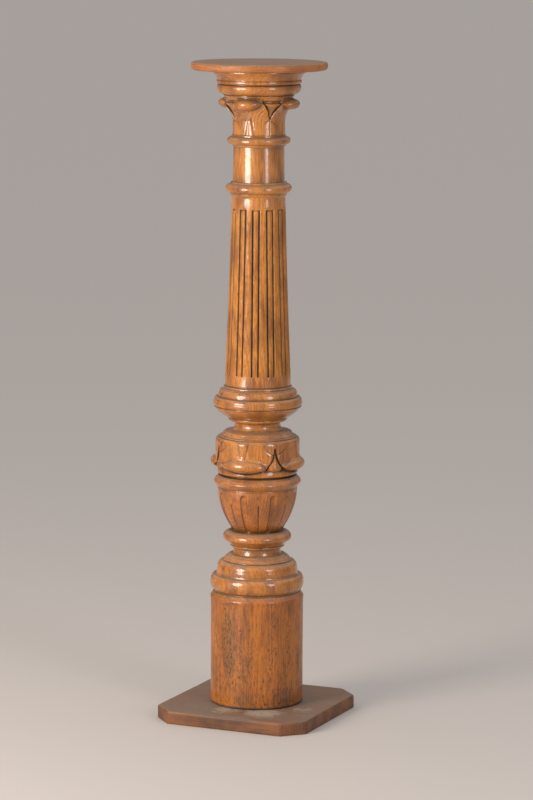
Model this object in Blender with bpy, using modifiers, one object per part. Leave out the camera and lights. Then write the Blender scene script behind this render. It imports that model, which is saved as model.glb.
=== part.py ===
"""Carved oak column: a turned and carved post on a square board, with a round top board.

Metres, +Z up. The origin is the centre of the base board's underside.
"""

import math

import bmesh
import bpy

# Base board
BOARD_SIDE = 0.2855
BOARD_THICKNESS = 0.0236
BOARD_CORNER_CLIP = 0.0354
BOARD_EDGE_ROUND = 0.0018

# Top board
DISC_RADIUS = 0.1190
DISC_THICKNESS = 0.0138
DISC_TOP_ROUND = 0.0026
DISC_UNDER_ROUND = 0.0050

# How the pieces meet
FIT_GAP = 0.0003
COLUMN_TURN = math.radians(3.6)

# Foot and base mouldings
FOOT_HEIGHT = 0.1941
FOOT_RADIUS = 0.0814
FOOT_EDGE_ROUND = 0.0026
BASE_GROOVE_HEIGHT = 0.0054
BASE_GROOVE_RADIUS = 0.0763
BASE_TORUS_HEIGHT = 0.0263
BASE_TORUS_SWELL = 0.0064
BASE_BELL_HEIGHT = 0.0219
BASE_BELL_FOOT_RADIUS = 0.0716
BASE_BELL_TOP_RADIUS = 0.0676
BASE_SHOULDER_HEIGHT = 0.0156
BASE_SHOULDER_RADIUS = 0.0640
LOWER_NECK_HEIGHT = 0.0142
LOWER_NECK_RADIUS = 0.0420
LOWER_NECK_HOLLOW = 0.0026

# Ring under the bowl
RING_FLARE_HEIGHT = 0.0080
RING_FLARE_RADIUS = 0.0546
RING_NOSE_HEIGHT = 0.0070
RING_NOSE_RADIUS = 0.0604
RING_TOP_HEIGHT = 0.0115
RING_TOP_RADIUS = 0.0450

# Bowl and its rim
BOWL_HEIGHT = 0.0755
BOWL_FOOT_RADIUS = 0.0428
BOWL_TOP_RADIUS = 0.0700
RIM_FILLET_HEIGHT = 0.0026
RIM_UNDER_HEIGHT = 0.0104
RIM_RADIUS = 0.0768
RIM_TOP_HEIGHT = 0.0098
RIM_TOP_RADIUS = 0.0690
RIM_SWELL = 0.0009

# Leaf drum
DRUM_GROOVE_HEIGHT = 0.0025
DRUM_GROOVE_RADIUS = 0.0640
DRUM_FOOT_HEIGHT = 0.0066
DRUM_FOOT_RADIUS = 0.0718
DRUM_LOWER_HEIGHT = 0.0280
DRUM_RADIUS = 0.0744
DRUM_UPPER_HEIGHT = 0.0220
DRUM_SHOULDER_HEIGHT = 0.0105
DRUM_SHOULDER_RADIUS = 0.0660
DRUM_COLLAR_FOOT_RADIUS = 0.0630
DRUM_COLLAR_HEIGHT = 0.0055
DRUM_COLLAR_RADIUS = 0.0604
DRUM_TOP_ROUND_HEIGHT = 0.0040
DRUM_TOP_RADIUS = 0.0520
DRUM_SLOPE_HEIGHT = 0.0020
MIDDLE_NECK_HEIGHT = 0.0160
MIDDLE_NECK_RADIUS = 0.0436
MIDDLE_NECK_HOLLOW = 0.0032

# Base ring of the shaft
CUP_FILLET_RADIUS = 0.0516
CUP_FILLET_HEIGHT = 0.0045
CUP_FLARE_HEIGHT = 0.0045
CUP_FLARE_RADIUS = 0.0586
CUP_HEIGHT = 0.0138
CUP_RADIUS = 0.0742
CUP_SWELL = 0.0022
CUP_EDGE_HEIGHT = 0.0040
SHAFT_TORUS_RADIUS = 0.0772
SHAFT_TORUS_HEIGHT = 0.0155
SHAFT_TORUS_TOP_RADIUS = 0.0715
SHAFT_TORUS_SWELL = 0.0037
SHAFT_OGEE_FOOT_RADIUS = 0.0697
SHAFT_OGEE_HEIGHT = 0.0130
SHAFT_OGEE_TOP_RADIUS = 0.0625
SHAFT_FILLET_HEIGHT = 0.0060
SHAFT_FILLET_RADIUS = 0.0590
SHAFT_GROOVE_HEIGHT = 0.0018
SHAFT_GROOVE_RADIUS = 0.0566

# Shaft, astragals and necking
SHAFT_HEIGHT = 0.3275
SHAFT_FOOT_RADIUS = 0.0578
SHAFT_TOP_RADIUS = 0.0466
SHAFT_HOLLOW = 0.0008
ASTRAGAL_COVE_HEIGHT = 0.0041
ASTRAGAL_FILLET_RADIUS = 0.0492
LOWER_ASTRAGAL_FILLET_HEIGHT = 0.0040
LOWER_ASTRAGAL_HEIGHT = 0.0158
LOWER_ASTRAGAL_SWELL = 0.0085
LOWER_ASTRAGAL_CAP_HEIGHT = 0.0030
NECKING_HEIGHT = 0.0618
NECKING_FOOT_RADIUS = 0.0453
NECKING_TOP_RADIUS = 0.0442
UPPER_FILLET_RADIUS = 0.0470
UPPER_ASTRAGAL_FILLET_HEIGHT = 0.0028
UPPER_ASTRAGAL_HEIGHT = 0.0140
UPPER_ASTRAGAL_SWELL = 0.0084
UPPER_ASTRAGAL_CAP_HEIGHT = 0.0026

# Capital bell and collar
BELL_FOOT_RADIUS = 0.0456
BELL_STRAIGHT_HEIGHT = 0.0250
BELL_FLARE_HEIGHT = 0.0406
BELL_LIP_RADIUS = 0.0597
BELL_HOLLOW = 0.0020
BEAD_HEIGHT = 0.0040
BEAD_RADIUS = 0.0603
BEAD_SWELL = 0.0012
COLLAR_FLARE_HEIGHT = 0.0122
COLLAR_TORUS_RADIUS = 0.0731
COLLAR_TORUS_TOP_HEIGHT = 0.0052
COLLAR_GROOVE_RADIUS = 0.0704
COLLAR_GROOVE_HEIGHT = 0.0022
COLLAR_BAND_HEIGHT = 0.0055
COLLAR_BAND_RADIUS = 0.0738
COLLAR_HOLLOW_HEIGHT = 0.0060
COLLAR_RADIUS = 0.0810
COLLAR_TOP_HEIGHT = 0.0106

# Flutes of the shaft, each with a convex reed left inside
FLUTES = 12
FLUTE_WIDTH = 0.0130
FLUTE_DEPTH = 0.0028
FLUTE_FOOT_MARGIN = 0.0190
FLUTE_TOP_MARGIN = 0.0200
REED_DROP = 0.0004

# Carving of the bowl
GOUGES = 8
GOUGE_WIDTH = 0.0120
GOUGE_DEPTH = 0.0021
GOUGE_TOP_MARGIN = 0.0066
DART_WIDTH = 0.0030
DART_DEPTH = 0.0018
DART_TOP_MARGIN = 0.0240
DIMPLE_RADIUS = 0.0036
DIMPLE_TOP_MARGIN = 0.0110

# Leaves, around the capital and, upside down, around the drum
LEAVES = 4
CAPITAL_LEAF_RELIEF = 0.0025
CAPITAL_CURL = 0.0140
DRUM_LEAF_RELIEF = 0.0046
DRUM_CURL = 0.0102

# Fineness of the facets
LATHE_STEPS = 24
DISC_STEPS = 40
CUT_CLEARANCE = 0.0030


def straight(t):
    return t, t, 0.0


def round_in(t):
    """Starts upright and ends flat."""
    turn = math.pi / 2 * t
    return 1.0 - math.cos(turn), math.sin(turn), 0.0


def spring_out(t):
    """Starts flat and ends upright."""
    turn = math.pi / 2 * t
    return math.sin(turn), 1.0 - math.cos(turn), 0.0


def belly(t):
    """A parabola that ends upright."""
    return 1.0 - (1.0 - t) ** 2, t, 0.0


def half_round(t):
    share = (1.0 - math.cos(math.pi * t)) / 2.0
    return share, share, math.sin(math.pi * t)


def bow(t):
    return t, t, 4.0 * t * (1.0 - t)


class Turning:
    """The outline of turned work, as (radius, height) points from the foot up."""

    def __init__(self, foot):
        self.points = [(0.0, foot)]
        self.marks = {}

    def mark(self, name):
        self.marks[name] = self.points[-1][1]

    def ledge(self, radius):
        self.points.append((radius, self.points[-1][1]))

    def run(self, height, radius, curve=straight, steps=1, swell=0.0):
        start, foot = self.points[-1]
        for step in range(1, steps + 1):
            across, up, out = curve(step / steps)
            bulge = swell * out
            self.points.append((start + (radius - start) * across + bulge, foot + height * up))

    def radius_at(self, z):
        """The radius of the plain turned surface at height z."""
        for (r0, z0), (r1, z1) in zip(self.points, self.points[1:]):
            if z0 <= z <= z1 and z1 > z0:
                return r0 + (r1 - r0) * (z - z0) / (z1 - z0)
        return self.points[-1][0]


def turn_base(turning):
    turning.ledge(FOOT_RADIUS)
    turning.run(FOOT_HEIGHT, FOOT_RADIUS)
    turning.run(FOOT_EDGE_ROUND, FOOT_RADIUS - FOOT_EDGE_ROUND, round_in)
    turning.ledge(BASE_GROOVE_RADIUS)
    turning.run(BASE_GROOVE_HEIGHT, BASE_GROOVE_RADIUS)
    turning.run(BASE_TORUS_HEIGHT, BASE_GROOVE_RADIUS, half_round, 5, BASE_TORUS_SWELL)
    turning.ledge(BASE_BELL_FOOT_RADIUS)
    turning.run(BASE_BELL_HEIGHT, BASE_BELL_TOP_RADIUS)
    turning.ledge(BASE_SHOULDER_RADIUS)
    turning.run(BASE_SHOULDER_HEIGHT, LOWER_NECK_RADIUS, round_in, 3)
    turning.run(LOWER_NECK_HEIGHT, LOWER_NECK_RADIUS, bow, 3, -LOWER_NECK_HOLLOW)


def turn_bowl(turning):
    turning.run(RING_FLARE_HEIGHT, RING_FLARE_RADIUS)
    turning.run(RING_NOSE_HEIGHT, RING_NOSE_RADIUS, spring_out, 2)
    turning.run(RING_TOP_HEIGHT, RING_TOP_RADIUS, round_in, 2)
    turning.ledge(BOWL_FOOT_RADIUS)
    turning.mark("bowl_foot")
    turning.run(BOWL_HEIGHT, BOWL_TOP_RADIUS, belly, 5)
    turning.mark("bowl_top")
    turning.run(RIM_FILLET_HEIGHT, BOWL_TOP_RADIUS)
    turning.run(RIM_UNDER_HEIGHT, RIM_RADIUS, bow, 2, RIM_SWELL)
    turning.run(RIM_TOP_HEIGHT, RIM_TOP_RADIUS, bow, 2, RIM_SWELL)


def turn_drum(turning):
    turning.ledge(DRUM_GROOVE_RADIUS)
    turning.run(DRUM_GROOVE_HEIGHT, DRUM_GROOVE_RADIUS)
    turning.mark("drum_foot")
    turning.run(DRUM_FOOT_HEIGHT, DRUM_FOOT_RADIUS, spring_out, 2)
    turning.run(DRUM_LOWER_HEIGHT, DRUM_RADIUS)
    turning.run(DRUM_UPPER_HEIGHT, DRUM_RADIUS)
    turning.mark("drum_top")
    turning.run(DRUM_SHOULDER_HEIGHT, DRUM_SHOULDER_RADIUS, round_in, 2)
    turning.ledge(DRUM_COLLAR_FOOT_RADIUS)
    turning.run(DRUM_COLLAR_HEIGHT, DRUM_COLLAR_RADIUS)
    turning.run(DRUM_TOP_ROUND_HEIGHT, DRUM_TOP_RADIUS, round_in, 2)
    turning.run(DRUM_SLOPE_HEIGHT, MIDDLE_NECK_RADIUS)
    turning.run(MIDDLE_NECK_HEIGHT, MIDDLE_NECK_RADIUS, bow, 3, -MIDDLE_NECK_HOLLOW)


def turn_shaft(turning):
    turning.ledge(CUP_FILLET_RADIUS)
    turning.run(CUP_FILLET_HEIGHT, CUP_FILLET_RADIUS)
    turning.run(CUP_FLARE_HEIGHT, CUP_FLARE_RADIUS)
    turning.run(CUP_HEIGHT, CUP_RADIUS, bow, 2, CUP_SWELL)
    turning.run(CUP_EDGE_HEIGHT, SHAFT_TORUS_RADIUS, spring_out, 2)
    turning.run(SHAFT_TORUS_HEIGHT, SHAFT_TORUS_TOP_RADIUS, half_round, 4, SHAFT_TORUS_SWELL)
    turning.ledge(SHAFT_OGEE_FOOT_RADIUS)
    turning.run(SHAFT_OGEE_HEIGHT, SHAFT_OGEE_TOP_RADIUS, round_in, 2)
    turning.run(SHAFT_FILLET_HEIGHT, SHAFT_FILLET_RADIUS)
    turning.ledge(SHAFT_GROOVE_RADIUS)
    turning.run(SHAFT_GROOVE_HEIGHT, SHAFT_GROOVE_RADIUS)
    turning.ledge(SHAFT_FOOT_RADIUS)
    turning.mark("shaft_foot")
    turning.run(SHAFT_HEIGHT, SHAFT_TOP_RADIUS, bow, 2, -SHAFT_HOLLOW)
    turning.mark("shaft_top")
    turning.run(ASTRAGAL_COVE_HEIGHT, ASTRAGAL_FILLET_RADIUS, round_in)
    turning.run(LOWER_ASTRAGAL_FILLET_HEIGHT, ASTRAGAL_FILLET_RADIUS)
    turning.run(LOWER_ASTRAGAL_HEIGHT, ASTRAGAL_FILLET_RADIUS, half_round, 5, LOWER_ASTRAGAL_SWELL)
    turning.run(LOWER_ASTRAGAL_CAP_HEIGHT, ASTRAGAL_FILLET_RADIUS)
    turning.ledge(NECKING_FOOT_RADIUS)
    turning.run(NECKING_HEIGHT, NECKING_TOP_RADIUS)


def turn_capital(turning):
    turning.ledge(UPPER_FILLET_RADIUS)
    turning.run(UPPER_ASTRAGAL_FILLET_HEIGHT, UPPER_FILLET_RADIUS)
    turning.run(UPPER_ASTRAGAL_HEIGHT, UPPER_FILLET_RADIUS, half_round, 5, UPPER_ASTRAGAL_SWELL)
    turning.run(UPPER_ASTRAGAL_CAP_HEIGHT, UPPER_FILLET_RADIUS)
    turning.ledge(BELL_FOOT_RADIUS)
    turning.mark("bell_foot")
    turning.run(BELL_STRAIGHT_HEIGHT, BELL_FOOT_RADIUS)
    turning.run(BELL_FLARE_HEIGHT, BELL_LIP_RADIUS, bow, 3, -BELL_HOLLOW)
    turning.mark("bell_top")
    turning.run(BEAD_HEIGHT, BEAD_RADIUS, half_round, 2, BEAD_SWELL)
    turning.run(COLLAR_FLARE_HEIGHT, COLLAR_TORUS_RADIUS, spring_out, 3)
    turning.run(COLLAR_TORUS_TOP_HEIGHT, COLLAR_GROOVE_RADIUS, round_in, 2)
    turning.run(COLLAR_GROOVE_HEIGHT, COLLAR_GROOVE_RADIUS)
    turning.ledge(COLLAR_BAND_RADIUS)
    turning.run(COLLAR_BAND_HEIGHT, COLLAR_BAND_RADIUS)
    turning.run(COLLAR_HOLLOW_HEIGHT, COLLAR_RADIUS, round_in, 2)
    turning.run(COLLAR_TOP_HEIGHT, COLLAR_RADIUS)
    turning.points.append((0.0, turning.points[-1][1]))


def outline_of_column():
    turning = Turning(BOARD_THICKNESS + FIT_GAP)
    turn_base(turning)
    turn_bowl(turning)
    turn_drum(turning)
    turn_shaft(turning)
    turn_capital(turning)
    return turning


def oak(name, colour, roughness):
    material = bpy.data.materials.new(name)
    material.use_nodes = True
    shader = material.node_tree.nodes["Principled BSDF"]
    shader.inputs["Base Color"].default_value = (*colour, 1.0)
    shader.inputs["Roughness"].default_value = roughness
    shader.inputs["Metallic"].default_value = 0.0
    return material


def add_object(name, mesh, collection, material=None):
    made = bpy.data.objects.new(name, mesh)
    collection.objects.link(made)
    if material:
        mesh.materials.append(material)
    return made


def lathe(name, points, steps, collection, material):
    """Turns (radius, height) points, given from the foot up, about the Z axis."""
    mesh = bpy.data.meshes.new(name)
    corners = [(radius, 0.0, z) for radius, z in reversed(points)]
    edges = [(i, i + 1) for i in range(len(corners) - 1)]
    mesh.from_pydata(corners, edges, [])
    made = add_object(name, mesh, collection, material)
    screw = made.modifiers.new("lathe", "SCREW")
    screw.steps = steps
    screw.render_steps = steps
    screw.use_merge_vertices = True
    screw.merge_threshold = 0.00001
    screw.use_smooth_shade = True
    return made


def polar(radius, angle, z):
    return radius * math.cos(angle), radius * math.sin(angle), z


def loft(mesh, rings):
    """Adds one closed body that joins the rings in turn and caps the first and the last."""
    loops = [[mesh.verts.new(corner) for corner in ring] for ring in rings]
    count = len(loops[0])
    faces = [mesh.faces.new(loops[0]), mesh.faces.new(reversed(loops[-1]))]
    for lower, upper in zip(loops, loops[1:]):
        for i in range(count):
            j = (i + 1) % count
            faces.append(mesh.faces.new((lower[j], lower[i], upper[i], upper[j])))
    bmesh.ops.recalc_face_normals(mesh, faces=faces)


def carving(name, bodies, collection):
    """One helper object that holds every body of a carved pattern."""
    work = bmesh.new()
    for rings in bodies:
        loft(work, rings)
    mesh = bpy.data.meshes.new(name)
    work.to_mesh(mesh)
    work.free()
    made = add_object(name, mesh, collection)
    made.hide_render = True
    made.display_type = "WIRE"
    return made


def carve(target, tool, operation):
    step = target.modifiers.new(tool.name, "BOOLEAN")
    step.operation = operation
    step.solver = "EXACT"
    step.object = tool


def around(count, first=0.0):
    return [first + 2.0 * math.pi * i / count for i in range(count)]


def flute_bodies(turning):
    """Square-ended channels, cut down both sides of a reed."""
    foot = turning.marks["shaft_foot"] + FLUTE_FOOT_MARGIN
    top = turning.marks["shaft_top"] - FLUTE_TOP_MARGIN
    half = FLUTE_WIDTH / 2.0
    reed = []
    for share in (-1.0, -0.5, 0.0, 0.5, 1.0):
        reed.append((half * share, -REED_DROP - (FLUTE_DEPTH - REED_DROP) * share**2))
    section = [(-half, CUT_CLEARANCE), *reed, (half, CUT_CLEARANCE)]
    bodies = []
    for middle in around(FLUTES, math.pi / FLUTES):
        rings = []
        for share in (0.0, 0.5, 1.0):
            z = foot + (top - foot) * share
            surface = turning.radius_at(z)
            rings.append([polar(surface + out, middle + across / surface, z) for across, out in section])
        bodies.append(rings)
    return bodies


def bowl_bodies(turning):
    """Gouged flutes with round tops, and between them a tapering dart below a dimple."""
    foot = turning.marks["bowl_foot"] + 0.02 * BOWL_HEIGHT
    rim = turning.marks["bowl_top"]
    bodies = []
    spread = GOUGE_WIDTH / 2.0 / BOWL_TOP_RADIUS
    reach = math.sqrt((GOUGE_DEPTH + CUT_CLEARANCE) / GOUGE_DEPTH)
    top = rim - GOUGE_TOP_MARGIN
    for middle in around(GOUGES):
        rings = []
        for up, width in ((0.0, 1.0), (0.3, 1.0), (0.6, 1.0), (0.88, 1.0), (0.98, 0.55)):
            z = foot + (top - foot) * up
            surface = turning.radius_at(z)
            ring = []
            for share in (-1.0, -0.5, 0.0, 0.5, 1.0):
                out = (GOUGE_DEPTH + CUT_CLEARANCE) * share**2 - GOUGE_DEPTH
                ring.append(polar(surface + out, middle + spread * reach * width * share, z))
            rings.append(ring)
        bodies.append(rings)
    for middle in around(GOUGES, math.pi / GOUGES):
        rings = []
        for up, width in ((0.0, 0.4), (0.5, 0.7), (1.0, 1.0)):
            z = foot + (rim - DART_TOP_MARGIN - foot) * up
            surface = turning.radius_at(z)
            half = width * DART_WIDTH / 2.0 * (DART_DEPTH + CUT_CLEARANCE) / DART_DEPTH
            section = ((-half, CUT_CLEARANCE), (0.0, -DART_DEPTH), (half, CUT_CLEARANCE))
            rings.append([polar(surface + out, middle + across / surface, z) for across, out in section])
        bodies.append(rings)
        z = rim - DIMPLE_TOP_MARGIN
        surface = turning.radius_at(z)
        rings = []
        for out, size in ((-0.4, 0.4), (0.5, 1.3)):
            ring = []
            for turn in around(6):
                across = size * DIMPLE_RADIUS * math.cos(turn)
                rise = size * DIMPLE_RADIUS * math.sin(turn)
                ring.append(polar(surface + out * DIMPLE_RADIUS, middle + across / surface, z + rise))
            rings.append(ring)
        bodies.append(rings)
    return bodies


class LeafBand:
    """Places leaf carving: share 0 is the leaf's root and share 1 its curled tip."""

    def __init__(self, turning, root, tip, relief, curl):
        self.turning = turning
        self.root = root
        self.tip = tip
        self.relief = relief
        self.curl = curl

    def height(self, share):
        return self.root + (self.tip - self.root) * share

    def surface(self, share):
        return self.turning.radius_at(self.height(share))

    def gap_bodies(self, outline):
        """Wedges between neighbouring leaves, down to the ground."""
        bodies = []
        for middle in around(LEAVES, math.pi / LEAVES):
            rings = []
            for share, half in outline:
                z = self.height(share)
                ground = self.surface(share) - self.relief
                outside = self.surface(share) + self.curl + self.relief
                ring = [polar(outside, middle + math.radians(half) * s, z) for s in (1.0, 0.0, -1.0)]
                ring += [polar(ground, middle + math.radians(half) * s, z) for s in (-1.0, 0.0, 1.0)]
                rings.append(ring)
            bodies.append(rings)
        return bodies

    def small_leaf_bodies(self, outline):
        """The small leaf that stands in each gap: share, half width in degrees, height over the ground."""
        bodies = []
        for middle in around(LEAVES, math.pi / LEAVES):
            rings = []
            for share, half, rise in outline:
                z = self.height(share)
                inside = self.surface(share) - 3.0 * self.relief
                outside = self.surface(share) - self.relief + rise
                spread = math.radians(half)
                ring = [polar(outside - 0.3 * rise, middle + spread, z), polar(outside, middle, z)]
                ring += [polar(outside - 0.3 * rise, middle - spread, z)]
                ring += [polar(inside, middle - spread, z), polar(inside, middle + spread, z)]
                rings.append(ring)
            bodies.append(rings)
        return bodies

    def curl_bodies(self, half_turn, stations, low, high, lift):
        """The rolled tip: a lens across the leaf, hollow towards the root and round at the tip."""
        section = ((-1.0, 0.0), (-0.55, 0.25), (-0.25, 0.72), (0.05, 1.0), (0.55, 0.84), (1.0, 0.1))
        bodies = []
        for middle in around(LEAVES):
            rings = []
            for step in range(stations):
                side = -math.cos(math.pi * (step + 0.4) / (stations - 0.2))
                size = math.sqrt(1.0 - side**2)
                crest = (low + high) / 2.0 + lift * side**2
                ring = []
                for share, out in section:
                    across = crest + (high - low) / 2.0 * size * share
                    radius = self.surface(across) + self.curl * size * out
                    ring.append(polar(radius, middle + half_turn * side, self.height(across)))
                for share in (1.0, -1.0):
                    across = crest + (high - low) / 2.0 * size * share
                    radius = self.surface(across) - 2.0 * self.relief
                    ring.append(polar(radius, middle + half_turn * side, self.height(across)))
                rings.append(ring)
            bodies.append(rings)
        return bodies


def build_column(collection, cutters, material):
    turning = outline_of_column()
    column = lathe("column", turning.points, LATHE_STEPS, collection, material)
    marks = turning.marks

    carve(column, carving("flutes", flute_bodies(turning), cutters), "DIFFERENCE")
    carve(column, carving("bowl_carving", bowl_bodies(turning), cutters), "DIFFERENCE")

    capital = LeafBand(turning, marks["bell_foot"], marks["bell_top"], CAPITAL_LEAF_RELIEF, CAPITAL_CURL)
    gaps = [(0.44, 0.6), (0.5, 2.6), (0.62, 7.0), (0.75, 12.0), (0.88, 17.0), (0.985, 19.0)]
    small = [
        (0.56, 1.2, 0.0024), (0.68, 6.5, 0.0030), (0.78, 10.5, 0.0042),
        (0.85, 13.0, 0.0050), (0.87, 8.0, 0.0034),
    ]
    carve(column, carving("capital_gaps", capital.gap_bodies(gaps), cutters), "DIFFERENCE")
    carve(column, carving("capital_small_leaves", capital.small_leaf_bodies(small), cutters), "UNION")
    curls = capital.curl_bodies(math.radians(27.0), 8, 0.60, 0.97, 0.04)
    carve(column, carving("capital_curls", curls, cutters), "UNION")

    drum = LeafBand(turning, marks["drum_top"], marks["drum_foot"], DRUM_LEAF_RELIEF, DRUM_CURL)
    gaps = [(0.0, 0.5), (0.15, 2.8), (0.32, 5.2), (0.5, 9.0), (0.66, 12.5), (0.8, 15.5)]
    small = [
        (0.3, 0.9, 0.0032), (0.45, 4.0, 0.0045), (0.6, 7.0, 0.0058),
        (0.72, 8.2, 0.0062), (0.79, 5.5, 0.0036),
    ]
    carve(column, carving("drum_gaps", drum.gap_bodies(gaps), cutters), "DIFFERENCE")
    carve(column, carving("drum_small_leaves", drum.small_leaf_bodies(small), cutters), "UNION")
    curls = drum.curl_bodies(math.radians(35.5), 9, 0.30, 0.87, 0.06)
    carve(column, carving("drum_curls", curls, cutters), "UNION")

    column.rotation_euler.z = COLUMN_TURN
    for tool in cutters.objects:
        tool.rotation_euler.z = COLUMN_TURN
    return turning.points[-1][1]


def build_base_board(collection, material):
    work = bmesh.new()
    bmesh.ops.create_cube(work, size=1.0)
    bmesh.ops.scale(work, vec=(BOARD_SIDE, BOARD_SIDE, BOARD_THICKNESS), verts=work.verts)
    bmesh.ops.translate(work, vec=(0.0, 0.0, BOARD_THICKNESS / 2.0), verts=work.verts)
    upright = [e for e in work.edges if abs(e.verts[0].co.z - e.verts[1].co.z) > BOARD_THICKNESS / 2.0]
    bmesh.ops.bevel(work, geom=upright, offset=BOARD_CORNER_CLIP, segments=1, affect="EDGES")
    mesh = bpy.data.meshes.new("base_board")
    work.to_mesh(mesh)
    work.free()
    board = add_object("base_board", mesh, collection, material)
    soften = board.modifiers.new("worn edges", "BEVEL")
    soften.width = BOARD_EDGE_ROUND
    soften.segments = 2
    soften.limit_method = "ANGLE"
    soften.angle_limit = math.radians(30.0)


def build_top_disc(collection, material, seat):
    turning = Turning(seat + FIT_GAP)
    turning.ledge(DISC_RADIUS - DISC_UNDER_ROUND)
    turning.run(DISC_UNDER_ROUND, DISC_RADIUS, spring_out, 2)
    turning.run(DISC_THICKNESS - DISC_UNDER_ROUND - DISC_TOP_ROUND, DISC_RADIUS)
    turning.run(DISC_TOP_ROUND, DISC_RADIUS - DISC_TOP_ROUND, round_in, 2)
    turning.points.append((0.0, turning.points[-1][1]))
    lathe("top_disc", turning.points, DISC_STEPS, collection, material)


def main():
    for left in list(bpy.data.objects):
        bpy.data.objects.remove(left, do_unlink=True)
    collection = bpy.data.collections.new("carved_oak_column")
    cutters = bpy.data.collections.new("carving_tools")
    bpy.context.scene.collection.children.link(collection)
    bpy.context.scene.collection.children.link(cutters)
    cutters.hide_render = True

    build_base_board(collection, oak("oak_board", (0.22, 0.12, 0.07), 0.55))
    seat = build_column(collection, cutters, oak("oak_varnished", (0.50, 0.20, 0.06), 0.30))
    build_top_disc(collection, oak("oak_top", (0.36, 0.17, 0.09), 0.45), seat)


main()
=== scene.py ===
# Carved oak column: a turned and carved post on a clipped square board, under a round top board.
# Shapes are worked out in millimetres and degrees, and become metres where a mesh is made.
# An angle of 0 on the post is the middle of a leaf. It grows to the right, seen from outside.
import math

import bpy
import numpy as np
from mathutils import Matrix, Vector, noise
from mathutils.bvhtree import BVHTree


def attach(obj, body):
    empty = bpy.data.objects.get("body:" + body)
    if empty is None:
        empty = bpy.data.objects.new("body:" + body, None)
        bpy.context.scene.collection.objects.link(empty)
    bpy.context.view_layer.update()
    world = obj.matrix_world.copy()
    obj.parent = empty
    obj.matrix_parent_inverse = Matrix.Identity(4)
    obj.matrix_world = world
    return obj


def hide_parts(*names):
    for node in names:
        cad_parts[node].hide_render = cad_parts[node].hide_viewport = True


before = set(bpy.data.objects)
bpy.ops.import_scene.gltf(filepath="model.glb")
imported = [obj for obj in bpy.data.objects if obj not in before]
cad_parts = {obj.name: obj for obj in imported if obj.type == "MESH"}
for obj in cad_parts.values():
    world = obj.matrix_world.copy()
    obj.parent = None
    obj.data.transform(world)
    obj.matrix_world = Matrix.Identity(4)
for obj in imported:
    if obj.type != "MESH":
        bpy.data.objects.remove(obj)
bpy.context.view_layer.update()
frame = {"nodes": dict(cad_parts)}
print("frame loaded:", ", ".join(frame["nodes"]))

mm = 0.001
halfPi = math.pi / 2


# Helpers for shapes

def placeRound(degrees, out, up):  # 0 degrees is towards -Y, and grows to the right seen from there
    turn = math.radians(degrees)
    return out * math.sin(turn), -out * math.cos(turn), up


def ramp(x, low, high):  # 0 at low, 1 at high, with soft ends
    t = np.clip((x - low) / (high - low), 0.0, 1.0)
    return t * t * (3.0 - 2.0 * t)


def through(points, x):  # a smooth curve through (place, value) points
    places, values = np.array(points, float).T
    slopes = np.gradient(values, places)
    x = np.clip(x, places[0], places[-1])
    i = np.clip(np.searchsorted(places, x) - 1, 0, len(places) - 2)
    gap = places[i + 1] - places[i]
    t = (x - places[i]) / gap
    start = (1 + 2 * t) * (1 - t) ** 2 * values[i] + t * (1 - t) ** 2 * gap * slopes[i]
    end = t * t * (3 - 2 * t) * values[i + 1] + t * t * (t - 1) * gap * slopes[i + 1]
    return start + end


def groove(distance, width):  # 1 in the middle of a cut, and near 0 a width away
    return np.exp(-((distance / (0.5 * width)) ** 2))


def higherOf(a, b, blend):
    return 0.5 * (a + b + np.sqrt((a - b) ** 2 + blend * blend)) - 0.5 * blend


class Carving:  # one row of carved points: radius, dirt with painted shade in the cuts, and how far the nearest fine cuts are
    def __init__(self, radius, angles, z):
        self.angles, self.z = angles, z
        self.radius = np.full(len(angles), float(radius))
        self.dirtAndShade = np.zeros(len(angles))
        self.lines = {name: [np.full(len(angles), 9.0), np.zeros(len(angles))] for name in ("cut", "nick")}

    # distance is in mm, and below 0 on one side of the line
    def cut(self, distance, strength, depth=0.0, width=1.4, layer="cut"):
        side = distance * 1.4 / width
        line = self.lines[layer]
        near = (np.abs(side) < np.abs(line[0])) & (strength > 0.02)
        line[0] = np.where(near, side, line[0])
        line[1] = np.where(near, strength * (1 - ramp(np.abs(distance), 1.5, 2.8)), line[1])
        self.radius = self.radius - depth * strength * groove(distance, 1.7 * width)

    # a chisel cut through (angle, height) places, thin at its ends
    def stroke(self, path, strength, depth, width, layer="nick"):
        along = np.linspace(0, 1, 41)
        places = np.linspace(0, 1, len(path))
        turn = through(list(zip(places, [p[0] for p in path])), along)
        height = through(list(zip(places, [p[1] for p in path])), along)
        reach = float(np.mean(self.radius))
        across = np.radians(self.angles[:, None] - turn) * reach
        rise = self.z - height + 0 * across
        nearest = np.argmin(across**2 + rise**2, axis=1)
        rows = np.arange(len(self.angles))
        runs, climbs = np.gradient(np.radians(turn) * reach), np.gradient(height)
        side = np.sign(across[rows, nearest] * climbs[nearest] - rise[rows, nearest] * runs[nearest] + 1e-9)
        distance = side * np.hypot(across[rows, nearest], rise[rows, nearest])
        size = width * (0.3 + 0.7 * np.sin(math.pi * along[nearest]) ** 0.7)
        self.cut(distance, strength + 0 * distance, depth, size, layer)


# The turned outline: the height and radius where each moulding ends, its curve and its swell

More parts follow.
